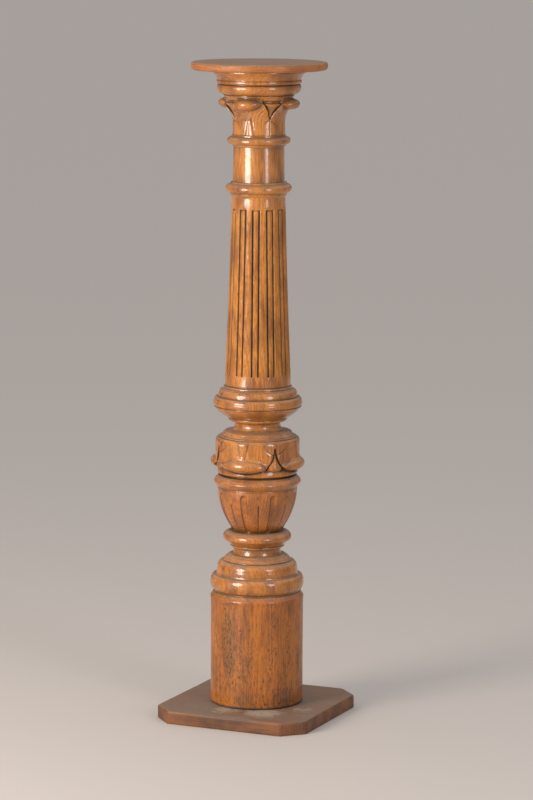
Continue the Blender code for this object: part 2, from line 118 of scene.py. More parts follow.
mouldings = {
    "foot": [
        (24.9, 81.4, "straight", 0), (206.0, 81.4, "tall", 0), (212.2, 82.2, "bow", 0),
        (215.4, 81.7, "bow", 0.2), (222.6, 77.2, "bow", -0.3),
        (223.0, 75.6, "straight", 0), (225.6, 75.6, "straight", 0),
    ],
    "base": [
        (252.3, 76.3, "halfRound", 6.4), (252.3, 73.4, "straight", 0), (256.6, 71.3, "springOut", 0),
        (265.6, 70.3, "bow", 0.3), (277.2, 60.8, "roundIn", 0), (277.6, 59.4, "straight", 0),
        (279.6, 59.2, "halfRound", 0.8), (280.0, 58.2, "straight", 0), (285.4, 53.4, "bow", 0.8),
        (285.8, 51.8, "straight", 0), (289.0, 43.0, "roundIn", 0), (301.2, 41.2, "bow", -0.7),
        (301.6, 46.8, "straight", 0), (305.8, 46.8, "halfRound", 1.3), (306.4, 49.0, "straight", 0),
        (314.4, 57.6, "bow", -0.5), (319.4, 60.4, "springOut", 0),
        (330.5, 45.0, "roundIn", 0), (330.5, 42.8, "straight", 0),
    ],
    "bowl": [(406.0, 70.0, "belly", 0)],
    "rim": [
        (406.4, 69.4, "straight", 0), (408.8, 69.6, "halfRound", 0.8), (409.2, 70.0, "straight", 0),
        (419.0, 76.8, "bow", 0.9), (428.4, 69.6, "bow", 1.0), (429.8, 65.6, "roundIn", 0),
        (430.0, 64.0, "straight", 0), (431.3, 64.0, "straight", 0),
    ],
    "drum": [
        (437.9, 71.8, "springOut", 0), (465.9, 74.4, "bow", 0), (487.9, 74.3, "bow", 0),
        (496.8, 69.2, "roundIn", 0),
    ],
    "neck": [
        (496.9, 68.0, "straight", 0), (499.0, 67.6, "halfRound", 0.6), (499.6, 64.4, "straight", 0),
        (501.2, 63.8, "straight", 0), (504.0, 60.8, "straight", 0), (508.2, 52.4, "roundIn", 0),
        (510.4, 43.6, "bow", -0.6), (525.9, 43.2, "bow", -3.1), (525.9, 50.6, "straight", 0),
        (530.4, 51.8, "bow", 0.5), (530.6, 51.2, "straight", 0), (534.9, 59.2, "straight", 0),
        (548.7, 74.2, "bow", 1.9), (551.2, 76.7, "springOut", 0), (551.7, 75.4, "straight", 0),
        (552.5, 75.5, "straight", 0), (553.0, 77.2, "straight", 0), (560.0, 77.7, "bow", 0.5),
        (560.4, 77.1, "straight", 0), (561.0, 77.3, "straight", 0), (568.2, 71.4, "roundIn", 0),
        (568.3, 69.2, "straight", 0), (569.1, 69.6, "straight", 0), (580.8, 64.0, "roundIn", 0),
        (581.2, 62.5, "straight", 0), (583.2, 59.6, "bow", -0.4), (587.1, 58.8, "halfRound", 1.0),
        (587.3, 56.6, "straight", 0), (588.9, 56.6, "straight", 0), (589.0, 57.8, "straight", 0),
    ],
    "shaft": [(916.5, 46.6, "fluted", -0.8)],
    "necking": [
        (920.4, 49.2, "roundIn", 0), (924.6, 49.4, "straight", 0), (940.4, 49.4, "halfRound", 8.3),
        (943.4, 48.6, "straight", 0), (943.4, 45.4, "straight", 0), (1005.2, 44.2, "tall", 0),
        (1005.2, 46.8, "straight", 0), (1008.0, 47.0, "straight", 0), (1022.0, 47.0, "halfRound", 8.3),
        (1024.6, 47.2, "straight", 0), (1024.6, 45.6, "straight", 0),
    ],
    "capital": [(1049.6, 45.6, "bow", 0), (1090.2, 59.7, "bow", -2.0)],
    "collar": [
        (1094.2, 60.3, "halfRound", 1.3), (1106.6, 73.1, "springOut", 0), (1111.8, 70.6, "roundIn", 0),
        (1112.0, 69.4, "straight", 0), (1113.8, 69.8, "straight", 0), (1113.9, 73.4, "straight", 0),
        (1118.9, 73.6, "bow", 0.5), (1119.3, 72.6, "straight", 0), (1120.3, 72.7, "straight", 0),
        (1131.8, 80.5, "bow", -1.5), (1132.8, 81.0, "straight", 0), (1135.0, 81.0, "straight", 0),
        (1135.9, 80.2, "straight", 0),
    ],
}
turning = {
    "startHeight": 23.9,
    "startRadius": 80.7,
    "plainStep": 2.1,     # mm along a plain moulding
    "carvedStep": 0.95,   # mm up a carved band
    "bowlStep": 1.7,
    "tallStep": 14.0,
    "arrisSize": 0.45,    # how far a crisp corner is rounded over
    "arrisAngle": 24.0,
    "plainColumns": 20,   # faces round a quarter of a plain moulding
    "turnOnBoard": 3.6,   # degrees
}
flutes = {
    "foot": 608.0, "top": 897.0,
    "reedHalfWidth": 4.5, "reedDrop": 0.2,
    "groove": [(4.5, 1.3), (5.0, 2.9), (5.7, 3.7), (6.3, 3.2), (7.0, 0.6), (7.6, 0.0)],  # mm out, mm deep
    "across": [0, 1.6, 3.0, 3.9, 4.5, 5.0, 5.7, 6.3, 7.0, 7.6],  # mm from the middle of a flute
}
gouges = {
    "halfWidth": 5.2, "depth": 3.1, "top": 401.5, "foot": 331.5,
    "dartTop": 384.0, "dartWidth": 2.8, "dartDepth": 2.2,
    "dimpleHeight": 397.0, "dimpleSize": 3.4, "dimpleDepth": 1.3,
    "across": [0, 1.2, 2.4, 3.5, 4.4, 5.0, 5.6, 6.4, 8.5, 11.5, 14.5, 17.4, 19.4, 20.6, 21.6, 22.5],
}


def curvePoint(kind, t, swell):  # share of the way across, share of the way up, and mm outwards
    if kind == "roundIn":
        return 1 - math.cos(t * halfPi), math.sin(t * halfPi), 0.0
    if kind == "springOut":
        return math.sin(t * halfPi), 1 - math.cos(t * halfPi), 0.0
    if kind == "belly":
        return 1 - (1 - t) ** 2, t, 0.0
    if kind == "halfRound":
        share = (1 - math.cos(math.pi * t)) / 2
        return share, share, swell * math.sin(math.pi * t)
    return t, t, swell * 4 * t * (1 - t)


def stepsOf(band, kind, length, rise):
    if kind == "fluted":
        ends = [0, 0.9, 1.6, 2.0, 2.4, 3.2, 5.0, 9.0]  # mm, close together where the flutes end
        shaftFoot = mouldings["neck"][-1][0]
        foot, top = flutes["foot"] - shaftFoot, flutes["top"] - shaftFoot
        heights = [0, 1.5, 8.0, 15.0] + [foot - 1.2 + e for e in ends] + list(np.linspace(45, 280, 10))
        heights += [top + 1.2 - e for e in reversed(ends)] + [top + 5.0, top + 12.0, rise - 1.5, rise]
        return [h / rise for h in heights]
    if kind == "tall":
        middle = np.linspace(0, 1, max(2, round(length / turning["tallStep"])))[1:-1]
        return [0, 1.5 / length, *middle, 1 - 1.5 / length, 1]
    if band in ("bowl", "drum", "capital"):
        step = turning["bowlStep" if band == "bowl" else "carvedStep"]
        return np.linspace(0, 1, 1 + math.ceil(length / step))
    if kind == "straight":
        return [0, 1]
    return np.linspace(0, 1, 1 + max(3, math.ceil(length / turning["plainStep"])))


def outlineRows():
    points = [(turning["startRadius"], turning["startHeight"], "foot")]
    for band, parts in mouldings.items():
        for height, radius, kind, swell in parts:
            r0, z0 = points[-1][:2]
            length = math.hypot(radius - r0, height - z0)
            for t in list(stepsOf(band, kind, length, height - z0))[1:]:
                across, up, out = curvePoint(kind, float(t), swell)
                points.append((r0 + (radius - r0) * across + out, z0 + (height - z0) * up, band))
    rows = [points[0]]
    for before, here, after in zip(points, points[1:], points[2:]):
        a, p, b = (np.array(q[:2]) for q in (before, here, after))
        into, out = p - a, b - p
        straightness = into @ out / np.linalg.norm(into) / np.linalg.norm(out)
        turn = math.degrees(math.acos(np.clip(straightness, -1, 1)))
        if turn < turning["arrisAngle"]:
            rows.append(here)
            continue
        start = p - into * min(0.42, turning["arrisSize"] / np.linalg.norm(into))
        end = p + out * min(0.42, turning["arrisSize"] / np.linalg.norm(out))
        for q in (start, (start + 2 * p + end) / 4, end):
            rows.append((float(q[0]), float(q[1]), here[2]))
    rows.append(points[-1])
    return rows


# Fluted shaft: twelve square-ended channels, each cut down both sides of a reed

def shaftColumns(z, radius):
    angles = []
    for middle in (-45, -15, 15, 45):
        for across in flutes["across"]:
            step = math.degrees(across / radius)
            angles += [middle - step, middle + step]
        angles += [middle - 15, middle + 15]
        last = math.degrees(flutes["across"][-1] / radius)
        angles += [middle - (15 + last) / 2, middle + (15 + last) / 2]
    return sorted({round(a, 5) for a in angles if -45.00001 <= a <= 45.00001})


def carveShaft(angles, z, radius):
    t = np.abs(np.radians((angles + 45 + 15) % 30 - 15) * radius)
    foot, top = flutes["foot"], flutes["top"]
    drop = flutes["reedDrop"] + 1.3 * groove(top - z, 7.0) + 0.7 * groove(z - foot, 7.0)
    reed = drop + 1.1 * (t / flutes["reedHalfWidth"]) ** 4
    cut = np.interp(t, *np.array(flutes["groove"]).T)
    depth = np.where(t < flutes["reedHalfWidth"], reed, cut)
    inside = ramp(z, foot - 0.6, foot + 0.5) * (1 - ramp(z, top - 0.5, top + 0.6))
    made = Carving(radius, angles, z)
    made.radius = radius - depth * inside
    # dirt and painted shade down each channel's sides, and a painted shadow line under each channel's square top
    # end
    made.dirtAndShade = inside * (groove(t - 5.6, 2.1) + 0.9 * groove(z - top + 0.6, 1.8) * (t < 6.6))
    return made


# Bowl: eight gouges with round tops, and between them a dart below a dimple

def bowlColumns(z, radius):
    angles = set()
    for middle in (-45, 0, 45):
        for across in gouges["across"]:
            angles |= {round(middle - across, 4), round(middle + across, 4)}
    return sorted(a for a in angles if -45 <= a <= 45)


def carveBowl(angles, z, radius):
    foot, dartTop, dimple = gouges["foot"], gouges["dartTop"], gouges["dimpleSize"]
    fromGouge = (angles + 45 + 22.5) % 45 - 22.5
    fromWall = np.abs(fromGouge) / gouges["halfWidth"] - 0.95
    share = np.clip(np.abs(fromGouge) / gouges["halfWidth"], 0, 1)
    top = gouges["top"] - 6.0 * (1 - np.sqrt(1 - share**2))
    inside = (1 - ramp(z, top - 1.2, top + 0.6)) * ramp(z, foot, foot + 1.5)
    depth = gouges["depth"] * (1 - share**2.6) * inside * (0.75 + 0.25 * ramp(z, 340, 385))
    fromDart = np.radians(angles % 45 - 22.5) * radius
    rise = np.clip((z - foot) / (dartTop - foot), 0, 1)
    width = gouges["dartWidth"] * (0.35 + 0.65 * rise)
    fade = ramp(z, foot - 0.5, foot + 2.5) * (1 - ramp(z, dartTop - 1.0, dartTop + 0.7))
    depth = depth + gouges["dartDepth"] * (0.4 + 0.6 * rise) * groove(fromDart, width) * fade
    fromDimple = np.hypot(fromDart, z - gouges["dimpleHeight"])
    depth = depth + gouges["dimpleDepth"] * (1 - ramp(fromDimple, 0.35 * dimple, dimple))
    made = Carving(radius, angles, z)
    made.radius = radius - depth
    # dirt and painted shade in the darts and round each dimple
    made.dirtAndShade = 0.8 * groove(fromDart, 1.1 * width) * fade + 0.6 * groove(fromDimple - 2.3, 1.5)
    # painted shadow under the round top of each gouge, strongest on its left
    shaded = inside * (share < 1) * (1 - ramp(top - z, 1.5, 9.0)) * (1 - ramp(fromGouge, -2.0, 3.0))
    made.dirtAndShade = made.dirtAndShade + 0.6 * shaded
    # painted shade: each gouge's left wall is drawn darker, as if shadowed from light on the left
    leftWall = np.where(fromGouge < 0, 1.0, 0.3)
    made.cut(np.radians(fromWall * gouges["halfWidth"]) * radius, 0.75 * inside * leftWall, 0.0, 1.8)
    return made


# Leaves: a gap opens between two leaves as a V, and the columns of faces follow its edges

def leafColumns(edge, radius, inside, outside):
    perMm = math.degrees(1 / radius)
    near = [share * min(1.0, edge / perMm / 6.0) * perMm for share in (2.0, 1.3, 0.75, 0.3)]
    half = list(np.linspace(0, edge - near[0], inside + 1)) + [edge - n for n in near[1:]]
    half += [edge + n * perMm for n in (0.15, 0.6, 1.2)]
    half += list(np.linspace(half[-1], 45, outside + 1))[1:]
    return sorted({round(-45 + h, 5) for h in half} | {round(45 - h, 5) for h in half})


# each list is by height in mm, and gives degrees from the gap's middle or mm outwards
capital = {
    "gapEdge": [(1049, 0.0), (1052, 0.4), (1055, 1.8), (1058, 3.5), (1061.4, 5.0), (1067, 7.7), (1070, 10.0),
                (1076, 13.7), (1080, 16.3), (1085, 18.6), (1088, 19.4)],
    "lipHalfTurn": 26.0, "lipMiddle": 1078.2, "lipHalfHeight": 10.0, "lipRise": 2.6, "lipOut": 21.0,
    "lipProfile": [(-1.12, 0), (-1.02, 0.05), (-0.95, 0.36), (-0.85, 0.66), (-0.68, 0.88), (-0.42, 0.98),
                   (-0.12, 1.0), (0.15, 0.96), (0.4, 0.87), (0.64, 0.7), (0.84, 0.48), (1.0, 0.22), (1.2, 0)],
    "edgeFlare": [(1052, 0), (1057, 0.4), (1061, 1.8), (1066, 4.6), (1072, 8.0), (1078, 9.8), (1083, 9.0),
                  (1088, 6.0)],
    "leafTop": [(0, 1089.0), (12, 1087.0), (20, 1084.0), (27, 1082.0), (45, 1081.0)],
    "smallLeaf": [(1049, 0), (1053, -0.6), (1060, -1.0), (1068, -0.2), (1074, 1.6), (1077.5, 3.6),
                  (1079.6, 4.3), (1080.8, 1.6), (1082, -1.2), (1086, -1.4), (1090.2, -0.6)],
    "cutDepth": [(1049, 0), (1052, 1.0), (1058, 2.2), (1070, 3.0), (1079, 3.2), (1083, 0.8), (1086, 0)],
    "stemHalf": [(1024.6, 10.4), (1027, 9.8), (1043, 6.1), (1055, 3.0), (1064, 1.6)],
    # each stroke's strength sets its depth and its darkness; the stem's right cut is stronger than its left as
    # painted shade
    "strokes": [
        ([(2.6, 1056), (5.9, 1043), (9.8, 1026)], 0.8), ([(-3.0, 1054), (-6.0, 1043), (-9.6, 1027)], 0.25),
        ([(20.5, 1059), (24, 1063.6), (28, 1068.5)], 0.6), ([(-35, 1069.5), (-29, 1065), (-22, 1062)], 0.5),
    ],
}


def capitalColumns(z, radius):
    return leafColumns(max(through(capital["gapEdge"], z), 2.2), radius, 5, 21)


def carveCapital(angles, z, radius):
    away = np.abs(angles)
    right = np.where(angles > 0, 1.0, 0.0)
    fromGap = 45 - away
    edge = float(through(capital["gapEdge"], z))
    s = np.clip(away / capital["lipHalfTurn"], 0, 1)
    taper = 1 - s**2
    middle = capital["lipMiddle"] + capital["lipRise"] * s**2 * (0.4 + 0.8 * right)
    halfHeight = capital["lipHalfHeight"] * np.maximum(taper, 0.05) ** 0.8
    lip = capital["lipOut"] * taper**0.62 * through(capital["lipProfile"], (z - middle) / halfHeight)
    topEdge = through(capital["leafTop"], away)
    below = 1 - ramp(z, topEdge - 2.6, topEdge + 0.8)
    flare = through(capital["edgeFlare"], z) * ramp(away, 10, 38) * below
    made = Carving(radius, angles, z)
    made.radius = radius + higherOf(lip, flare, 2.6)
    # painted shade: a dark line under the lip, drawn stronger on the leaf's right half
    made.cut(z - middle + 0.98 * halfHeight, (1 - ramp(away, 20, 25)) * (0.3 + 0.5 * right), 0.5, 1.2)

    # the stem stands proud between two cuts, with a soft hollow along it
    half = np.interp(z, *np.array(capital["stemHalf"]).T)
    live = 1 - ramp(z, 1055, 1063)
    stem = 0.9 * (1 - ramp(away, half - 1.2, half + 0.4)) - 0.5 * groove(np.radians(away) * radius, 3.4)
    made.radius += live * stem
    for path, strength in capital["strokes"]:
        made.stroke(path, strength, 1.3, 1.8)
    leaf = made.radius

    small = radius + through(capital["smallLeaf"], z + 0.35 * np.sin(np.radians(fromGap * 26.0)))
    small = small + 0.5 * (1 - np.clip(fromGap / max(edge, 1.0), 0, 1) ** 2) * ramp(z, 1056, 1066)
    inGap = 1 - ramp(fromGap, edge - 0.35, edge + 0.35) if edge > 0.4 else 0 * fromGap
    made.radius = leaf * (1 - inGap) + small * inGap
    # the gap's edges are cut in and darkened by dirt and painted shade, more on the leaf's right side; a painted
    # shadow wedge darkens the gap beside the leaf's left edge
    cut = through(capital["cutDepth"], z) * groove(np.radians(fromGap - edge + 0.7) * radius, 1.5)
    made.radius -= cut
    wedge = (1 - right) * inGap * ramp(fromGap, edge - 6.0, edge - 1.5)
    wedge = wedge * ramp(z, 1056, 1064) * (1 - ramp(z, 1073, 1080))
    made.dirtAndShade = np.clip((0.45 + 0.2 * right) * cut + 0.85 * wedge, 0, 1)

    arch = 1050.8 - 9.0 * (fromGap / 17.3) ** 1.7
    steep = 0.9 * (fromGap / 17.0) ** 0.7
    width = 2.0 - 1.2 * ramp(fromGap, 4, 22)
    reach = 1 - ramp(fromGap, 15 + 6 * (1 - right), 18 + 7 * (1 - right))
    made.cut((z - arch) / np.sqrt(1 + steep**2), 0.6 * reach, 0.9, width)
    fromMiddle = np.radians(fromGap) * radius * np.sign(angles + 1e-9)
    made.cut(fromMiddle, 0.35 * (1 - ramp(z, 1046, 1050)), 0.4, 1.1, "nick")
    return made


drum = {
    "gapEdge": [(437, 47.0), (440, 44.0), (441.5, 33.0), (443.5, 26.0), (446, 18.8), (448.5, 14.4),
                (452, 11.0), (456, 8.4), (460, 6.3), (463, 5.0), (469, 3.2), (478, 1.4), (485, 0.6),
                (488, 0.1)],
    "rollHalfTurn": 36.5, "rollMiddle": 452.6,
    "rollProfile": [(-13.0, 0), (-11.6, 0.4), (-10.8, 2.6), (-9.7, 5.2), (-8.0, 7.6), (-6.0, 9.4),
                    (-3.2, 10.8), (-0.6, 11.2), (2.0, 10.8), (4.4, 9.8), (6.8, 8.0), (8.6, 6.0), (10.0, 4.1),
                    (12.0, 2.2), (15.0, 1.0), (18.0, 0)],
    "groundDrop": [(431.5, 0), (434, 0.2), (437, 1.0), (440, 1.8), (444, 3.4), (455, 4.4), (469, 2.8),
                   (478, 1.4), (487, 0.3)],
    "tongueHalf": [(443.0, 0.0), (444.0, 4.0), (445.6, 7.6), (448, 10.4), (451.5, 10.4), (457, 7.6),
                   (463, 4.4), (468, 2.4), (472, 0.8), (474, 0.0)],
    "tongueOut": [(443.4, 1.2), (444.6, 5.4), (447, 8.2), (450, 9.0), (455, 7.2), (461, 4.2), (473, 1.0)],
    "ribHalf": [(466, 2.4), (468, 2.9), (480, 4.7), (493, 7.5), (497, 8.0)],
    "strokes": [
        ([(24.3, 466.5), (26.0, 458.5), (31.8, 450.8)], 0.9),
        ([(-31, 453.5), (-25, 459.5), (-18, 463.5)], 0.5),
        ([(44.5, 472.8), (41.5, 474), (36.5, 477.5), (33, 482), (31.2, 486.5)], 0.85),
        ([(-44.5, 472.8), (-40, 474.5), (-34, 478.5), (-28.5, 484), (-26, 488.5)], 0.75),
    ],
}


def drumColumns(z, radius):
    return leafColumns(min(max(through(drum["gapEdge"], z), 2.2), 19.0), radius, 8, 19)


def carveDrum(angles, z, radius):
    away = np.abs(angles)
    right = np.where(angles > 0, 1.0, 0.0)
    fromGap = 45 - away
    edge = float(through(drum["gapEdge"], z))
    s = np.clip(away / drum["rollHalfTurn"], 0, 1)
    taper = 1 - s**2
    size = np.maximum(taper, 0.03) ** 0.72
    u = (z - drum["rollMiddle"] + 1.2 * s**2) / size
    made = Carving(radius, angles, z)
    made.radius = radius + taper**0.6 * through(drum["rollProfile"], u)
    inRoll = 1 - ramp(away, 30, 35)
    # painted shade: a faint dark line along the roll's upper crease and a darker one along its lower edge
    made.cut((u - 10.2) * size, 0.45 * inRoll * ramp(away, 0, 12), 0.0, 1.2)
    made.cut((u + 11.9) * size, 0.8 * inRoll)

    # the leaf is cushioned, with a rib, a nick on each side and a swag by the gap
    body = ramp(z, 460, 468) * (1 - ramp(z, 486, 494))
    made.radius += 0.9 * ramp(away, 28, 40) * (1 - ramp(z, 472, 482)) * ramp(z, 452, 457)
    made.radius -= 0.9 * body * groove(away - 15, 15)
    half = np.interp(z, *np.array(drum["ribHalf"]).T)
    live = ramp(z, 463, 467) * (1 - ramp(z, 492, 496))
    made.radius += live * 0.8 * (1 - ramp(away, half - 1.0, half + 0.4))
    # the rib's edge cut, drawn darker on the leaf's right side as painted shade
    made.cut(np.radians(away - half - 0.5) * radius, live * (0.2 + 0.6 * right), 1.3, 1.5)
    for path, strength in drum["strokes"]:
        made.stroke(path, strength, 1.2, 1.8)
    leaf = made.radius

    ground = radius - through(drum["groundDrop"], z)
    tongueEdge = max(float(through(drum["tongueHalf"], z)), 0.02)
    onTongue = 1 - ramp(fromGap, tongueEdge - 0.7, tongueEdge + 0.5)
    share = np.clip(fromGap / max(tongueEdge, 1.0), 0, 1)
    tongue = through(drum["tongueOut"], z) * onTongue * (1 - 0.5 * share**1.2)
    if tongueEdge < 0.1:
        tongue = 0 * fromGap
    pocket = 2.4 * groove(fromGap - 13.0, 4.6) * groove(z - 446.5, 7.0)
    inGap = 1 - ramp(fromGap, edge - 0.35, edge + 0.35) if edge > 0.3 else 0 * fromGap
    inGap = inGap * ramp(z, 433, 436)
    made.radius = leaf * (1 - inGap) + (ground + tongue - pocket) * inGap
    fromEdge = np.radians(fromGap - edge + 0.3) * radius
    # the gap's edges are cut in; with the pockets they are darkened by dirt and painted shade, more on the
    # leaf's right side, and a painted shadow band lies under the roll
    cut = 2.0 * ramp(487.5 - z, 0, 6) * ramp(z, 446, 450) * groove(fromEdge, 2.1)
    made.radius -= cut
    under = 1.1 * inRoll * groove((u + 13.2) * size, 4.0)
    made.dirtAndShade = np.clip((0.9 + 0.3 * right) * cut + 0.6 * pocket * inGap + under, 0, 1)
    for line in made.lines.values():
        line[1] = line[1] * (1 - inGap)
    return made


bands = {
    "shaft": (shaftColumns, carveShaft),
    "bowl": (bowlColumns, carveBowl),
    "capital": (capitalColumns, carveCapital),
    "drum": (drumColumns, carveDrum),
}


def plainColumns(z, radius):
    return list(np.linspace(-45, 45, turning["plainColumns"] + 1))


def joinRows(low, lowAngles, high, highAngles):  # triangles between rows with unlike columns
    faces, i, j = [], 0, 0
    while i < len(low) - 1 or j < len(high) - 1:
        nextLow = lowAngles[i + 1] if i < len(low) - 1 else 999
        nextHigh = highAngles[j + 1] if j < len(high) - 1 else 999
        if nextLow <= nextHigh:
            faces.append((low[i], low[i + 1], high[j]))
            i += 1
        else:
            faces.append((low[i], high[j + 1], high[j]))
            j += 1
    return faces


def quarterOfPost():
    points, faces, before = [], [], None
    marks = {name: [] for name in ("cuts", "cutSide", "cutLine", "nickSide", "nickLine")}
    rows = outlineRows()
    for radius, z, band in rows:
        columns, carve = bands.get(band, (plainColumns, None))
        angles = np.array(columns(z, radius))
        made = carve(angles, z, radius) if carve else Carving(radius, angles, z)
        turns = np.radians(angles)
        first = len(points)
        points += [(r * math.sin(a), -r * math.cos(a), z) for r, a in zip(made.radius, turns)]
        row = list(range(first, len(points)))
        marks["cuts"] += list(made.dirtAndShade)
        for layer, (side, line) in made.lines.items():
            marks[layer + "Side"] += list(side)
            marks[layer + "Line"] += list(line)
        if before is None:
            points.append((0.0, 0.0, z))
            for values in marks.values():
                values.append(0.0)
            faces += [(len(points) - 1, b, a) for a, b in zip(row, row[1:])]
        elif before[2] == band and len(before[0]) == len(row):
            old = before[0]
            faces += [(old[k], old[k + 1], row[k + 1], row[k]) for k in range(len(row) - 1)]
        else:
            faces += joinRows(before[0], before[1], row, angles)
        before = (row, angles, band)
    points.append((0.0, 0.0, z))
    for values in marks.values():
        values.append(0.0)
    faces += [(a, b, len(points) - 1) for a, b in zip(row, row[1:])]
    print("post outline:", len(rows), "rows,", len(faces), "faces in a quarter")
    return np.array(points) * mm, faces, marks


# Dirt, painted shade and wear: what is sheltered gets dirt and painted shade, and what stands out is rubbed

shelterSizes = {"reach": 14.0, "rays": 14, "wearReach": 3.5, "wearRays": 6, "lift": 0.3}


def shelteredAndWorn(mesh, walls):
    tree = BVHTree.FromPolygons(*walls)
    golden = math.pi * (3 - math.sqrt(5))

    def spread(count):
        made = []
        for i in range(count):
            height = math.sqrt(1 - (i + 0.5) / count)
            flat = math.sqrt(1 - height * height)
            made.append((flat * math.cos(i * golden), flat * math.sin(i * golden), height))
        return made

    outer, inner = spread(shelterSizes["rays"]), spread(shelterSizes["wearRays"])
    reach, wearReach, lift = (shelterSizes[size] * mm for size in ("reach", "wearReach", "lift"))
    occluded, rubbed = [], []
    for vertex in mesh.vertices:
        n = vertex.normal
        side = n.orthogonal().normalized()
        other = n.cross(side)
        start = vertex.co + n * lift
        total = 0.0
        for x, y, height in outer:
            hit = tree.ray_cast(start, side * x + other * y + n * height, reach)
            if hit[3] is not None:
                total += 1 - hit[3] / reach
        occluded.append(total / len(outer))
        start = vertex.co - n * lift
        total = 0.0
        for x, y, height in inner:
            hit = tree.ray_cast(start, side * x + other * y - n * height, wearReach)
            if hit[3] is not None:
                total += 1 - hit[3] / wearReach
        rubbed.append(total / len(inner))
    return occluded, rubbed


def writeAttribute(mesh, name, values):
    layer = mesh.attributes.new(name, "FLOAT", "POINT")
    layer.data.foreach_set("value", np.array(values, np.float32))


# Nodes, with short names for the kinds and settings that come up often

mathNode, vectorNode, rangeNode = "ShaderNodeMath", "ShaderNodeVectorMath", "ShaderNodeMapRange"
mixNode, attributeNode = "ShaderNodeMix", "ShaderNodeAttribute"
soft, inColour = {"interpolation_type": "SMOOTHSTEP"}, {"data_type": "RGBA"}


# an input is a value, a socket, or a node for its first live output
def addNode(tree, kind, inputs=None, **settings):
    node = tree.nodes.new(kind)
    for name, value in settings.items():
        setattr(node, name, value)
    for socket, value in (inputs or {}).items():
        if isinstance(value, bpy.types.Node):
            value = next(out for out in value.outputs if out.enabled)
        if isinstance(value, bpy.types.NodeSocket):
            tree.links.new(value, node.inputs[socket])
        else:
            node.inputs[socket].default_value = value
    return node


def hexToLinear(code):
    parts = [int(code[i:i + 2], 16) / 255 for i in (1, 3, 5)]
    return [c / 12.92 if c <= 0.04045 else ((c + 0.055) / 1.055) ** 2.4 for c in parts] + [1.0]


# Four carved quarters make the post

postNodes = {
    "Repeats": 4, "Merge Distance": 0.00002, "Unevenness": 0.00034, "Unevenness Scale": 38.0, "Seed": 7.0,
}


def aroundAxisTree(material):
    tree = bpy.data.node_groups.new("repeat round the post", "GeometryNodeTree")
    face = tree.interface
    face.new_socket("Geometry", in_out="INPUT", socket_type="NodeSocketGeometry")
    face.new_socket("Repeats", in_out="INPUT", socket_type="NodeSocketInt")
    for name in ("Merge Distance", "Unevenness", "Unevenness Scale", "Seed"):
        face.new_socket(name, in_out="INPUT", socket_type="NodeSocketFloat")
    face.new_socket("Geometry", in_out="OUTPUT", socket_type="NodeSocketGeometry")
    given = addNode(tree, "NodeGroupInput").outputs
    seats = addNode(tree, "GeometryNodeMeshLine", {"Count": given["Repeats"], "Offset": (0, 0, 0)})
    index = addNode(tree, "GeometryNodeInputIndex")
    share = addNode(tree, mathNode, {0: index, 1: given["Repeats"]}, operation="DIVIDE")
    turn = addNode(tree, mathNode, {0: share, 1: 2 * math.pi}, operation="MULTIPLY")
    upright = addNode(tree, "ShaderNodeCombineXYZ", {"Z": turn})
    copies = addNode(tree, "GeometryNodeInstanceOnPoints", {
        "Points": seats, "Instance": given["Geometry"], "Rotation": upright})
    real = addNode(tree, "GeometryNodeRealizeInstances", {"Geometry": copies})
    whole = addNode(tree, "GeometryNodeMergeByDistance", {
        "Geometry": real, "Distance": given["Merge Distance"]})
    rough = addNode(tree, "ShaderNodeTexNoise", {
        "Scale": given["Unevenness Scale"], "W": given["Seed"], "Detail": 2.0}, noise_dimensions="4D")
    centred = addNode(tree, mathNode, {0: rough, 1: 0.5}, operation="SUBTRACT")
    amount = addNode(tree, mathNode, {0: centred, 1: given["Unevenness"]}, operation="MULTIPLY")
    normal = addNode(tree, "GeometryNodeInputNormal")
    push = addNode(tree, vectorNode, {0: normal, "Scale": amount}, operation="SCALE")
    moved = addNode(tree, "GeometryNodeSetPosition", {"Geometry": whole, "Offset": push})
    smooth = addNode(tree, "GeometryNodeSetShadeSmooth", {"Geometry": moved})
    dressed = addNode(tree, "GeometryNodeSetMaterial", {"Geometry": smooth, "Material": material})
    addNode(tree, "NodeGroupOutput", {"Geometry": dressed})
    return tree


def makePost(material):
    points, faces, marks = quarterOfPost()
    mesh = bpy.data.meshes.new("quarter of the post")
    mesh.from_pydata(points.tolist(), [], faces)
    mesh.update()
    wallPoints, wallFaces = [], []
    for k in range(4):
        c, s = math.cos(k * halfPi), math.sin(k * halfPi)
        first = len(wallPoints)
        wallPoints += [(x * c - y * s, x * s + y * c, z) for x, y, z in points.tolist()]
        wallFaces += [tuple(first + i for i in f) for f in faces]
    occluded, rubbed = shelteredAndWorn(mesh, (wallPoints, wallFaces))
    writeAttribute(mesh, "sheltered", occluded)
    writeAttribute(mesh, "rubbed", rubbed)
    for name, values in marks.items():
        writeAttribute(mesh, name, values)
    maker = bpy.data.objects.new("post maker", mesh)
    bpy.context.scene.collection.objects.link(maker)
    nodes = maker.modifiers.new("repeat", "NODES")
    nodes.node_group = aroundAxisTree(material)
    for item in nodes.node_group.interface.items_tree:
        if item.in_out == "INPUT" and item.name in postNodes:
            nodes[item.identifier] = postNodes[item.name]
    graph = bpy.context.evaluated_depsgraph_get()
    made = bpy.data.meshes.new_from_object(maker.evaluated_get(graph), depsgraph=graph)
    maker.modifiers.remove(nodes)
    bpy.data.objects.remove(maker, do_unlink=True)
    made.transform(Matrix.Rotation(math.radians(turning["turnOnBoard"]), 4, "Z"))
    made.name = "carvedPost"
    return addPiece("carvedPost", made, "column")


def addPiece(name, mesh, node):
    piece = bpy.data.objects.new(name, mesh)
    bpy.context.scene.collection.objects.link(piece)
    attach(piece, "root")
    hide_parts(node)
    triangles = sum(len(p.vertices) - 2 for p in mesh.polygons)
    print(name, triangles, "triangles")
    return piece


# Round top board

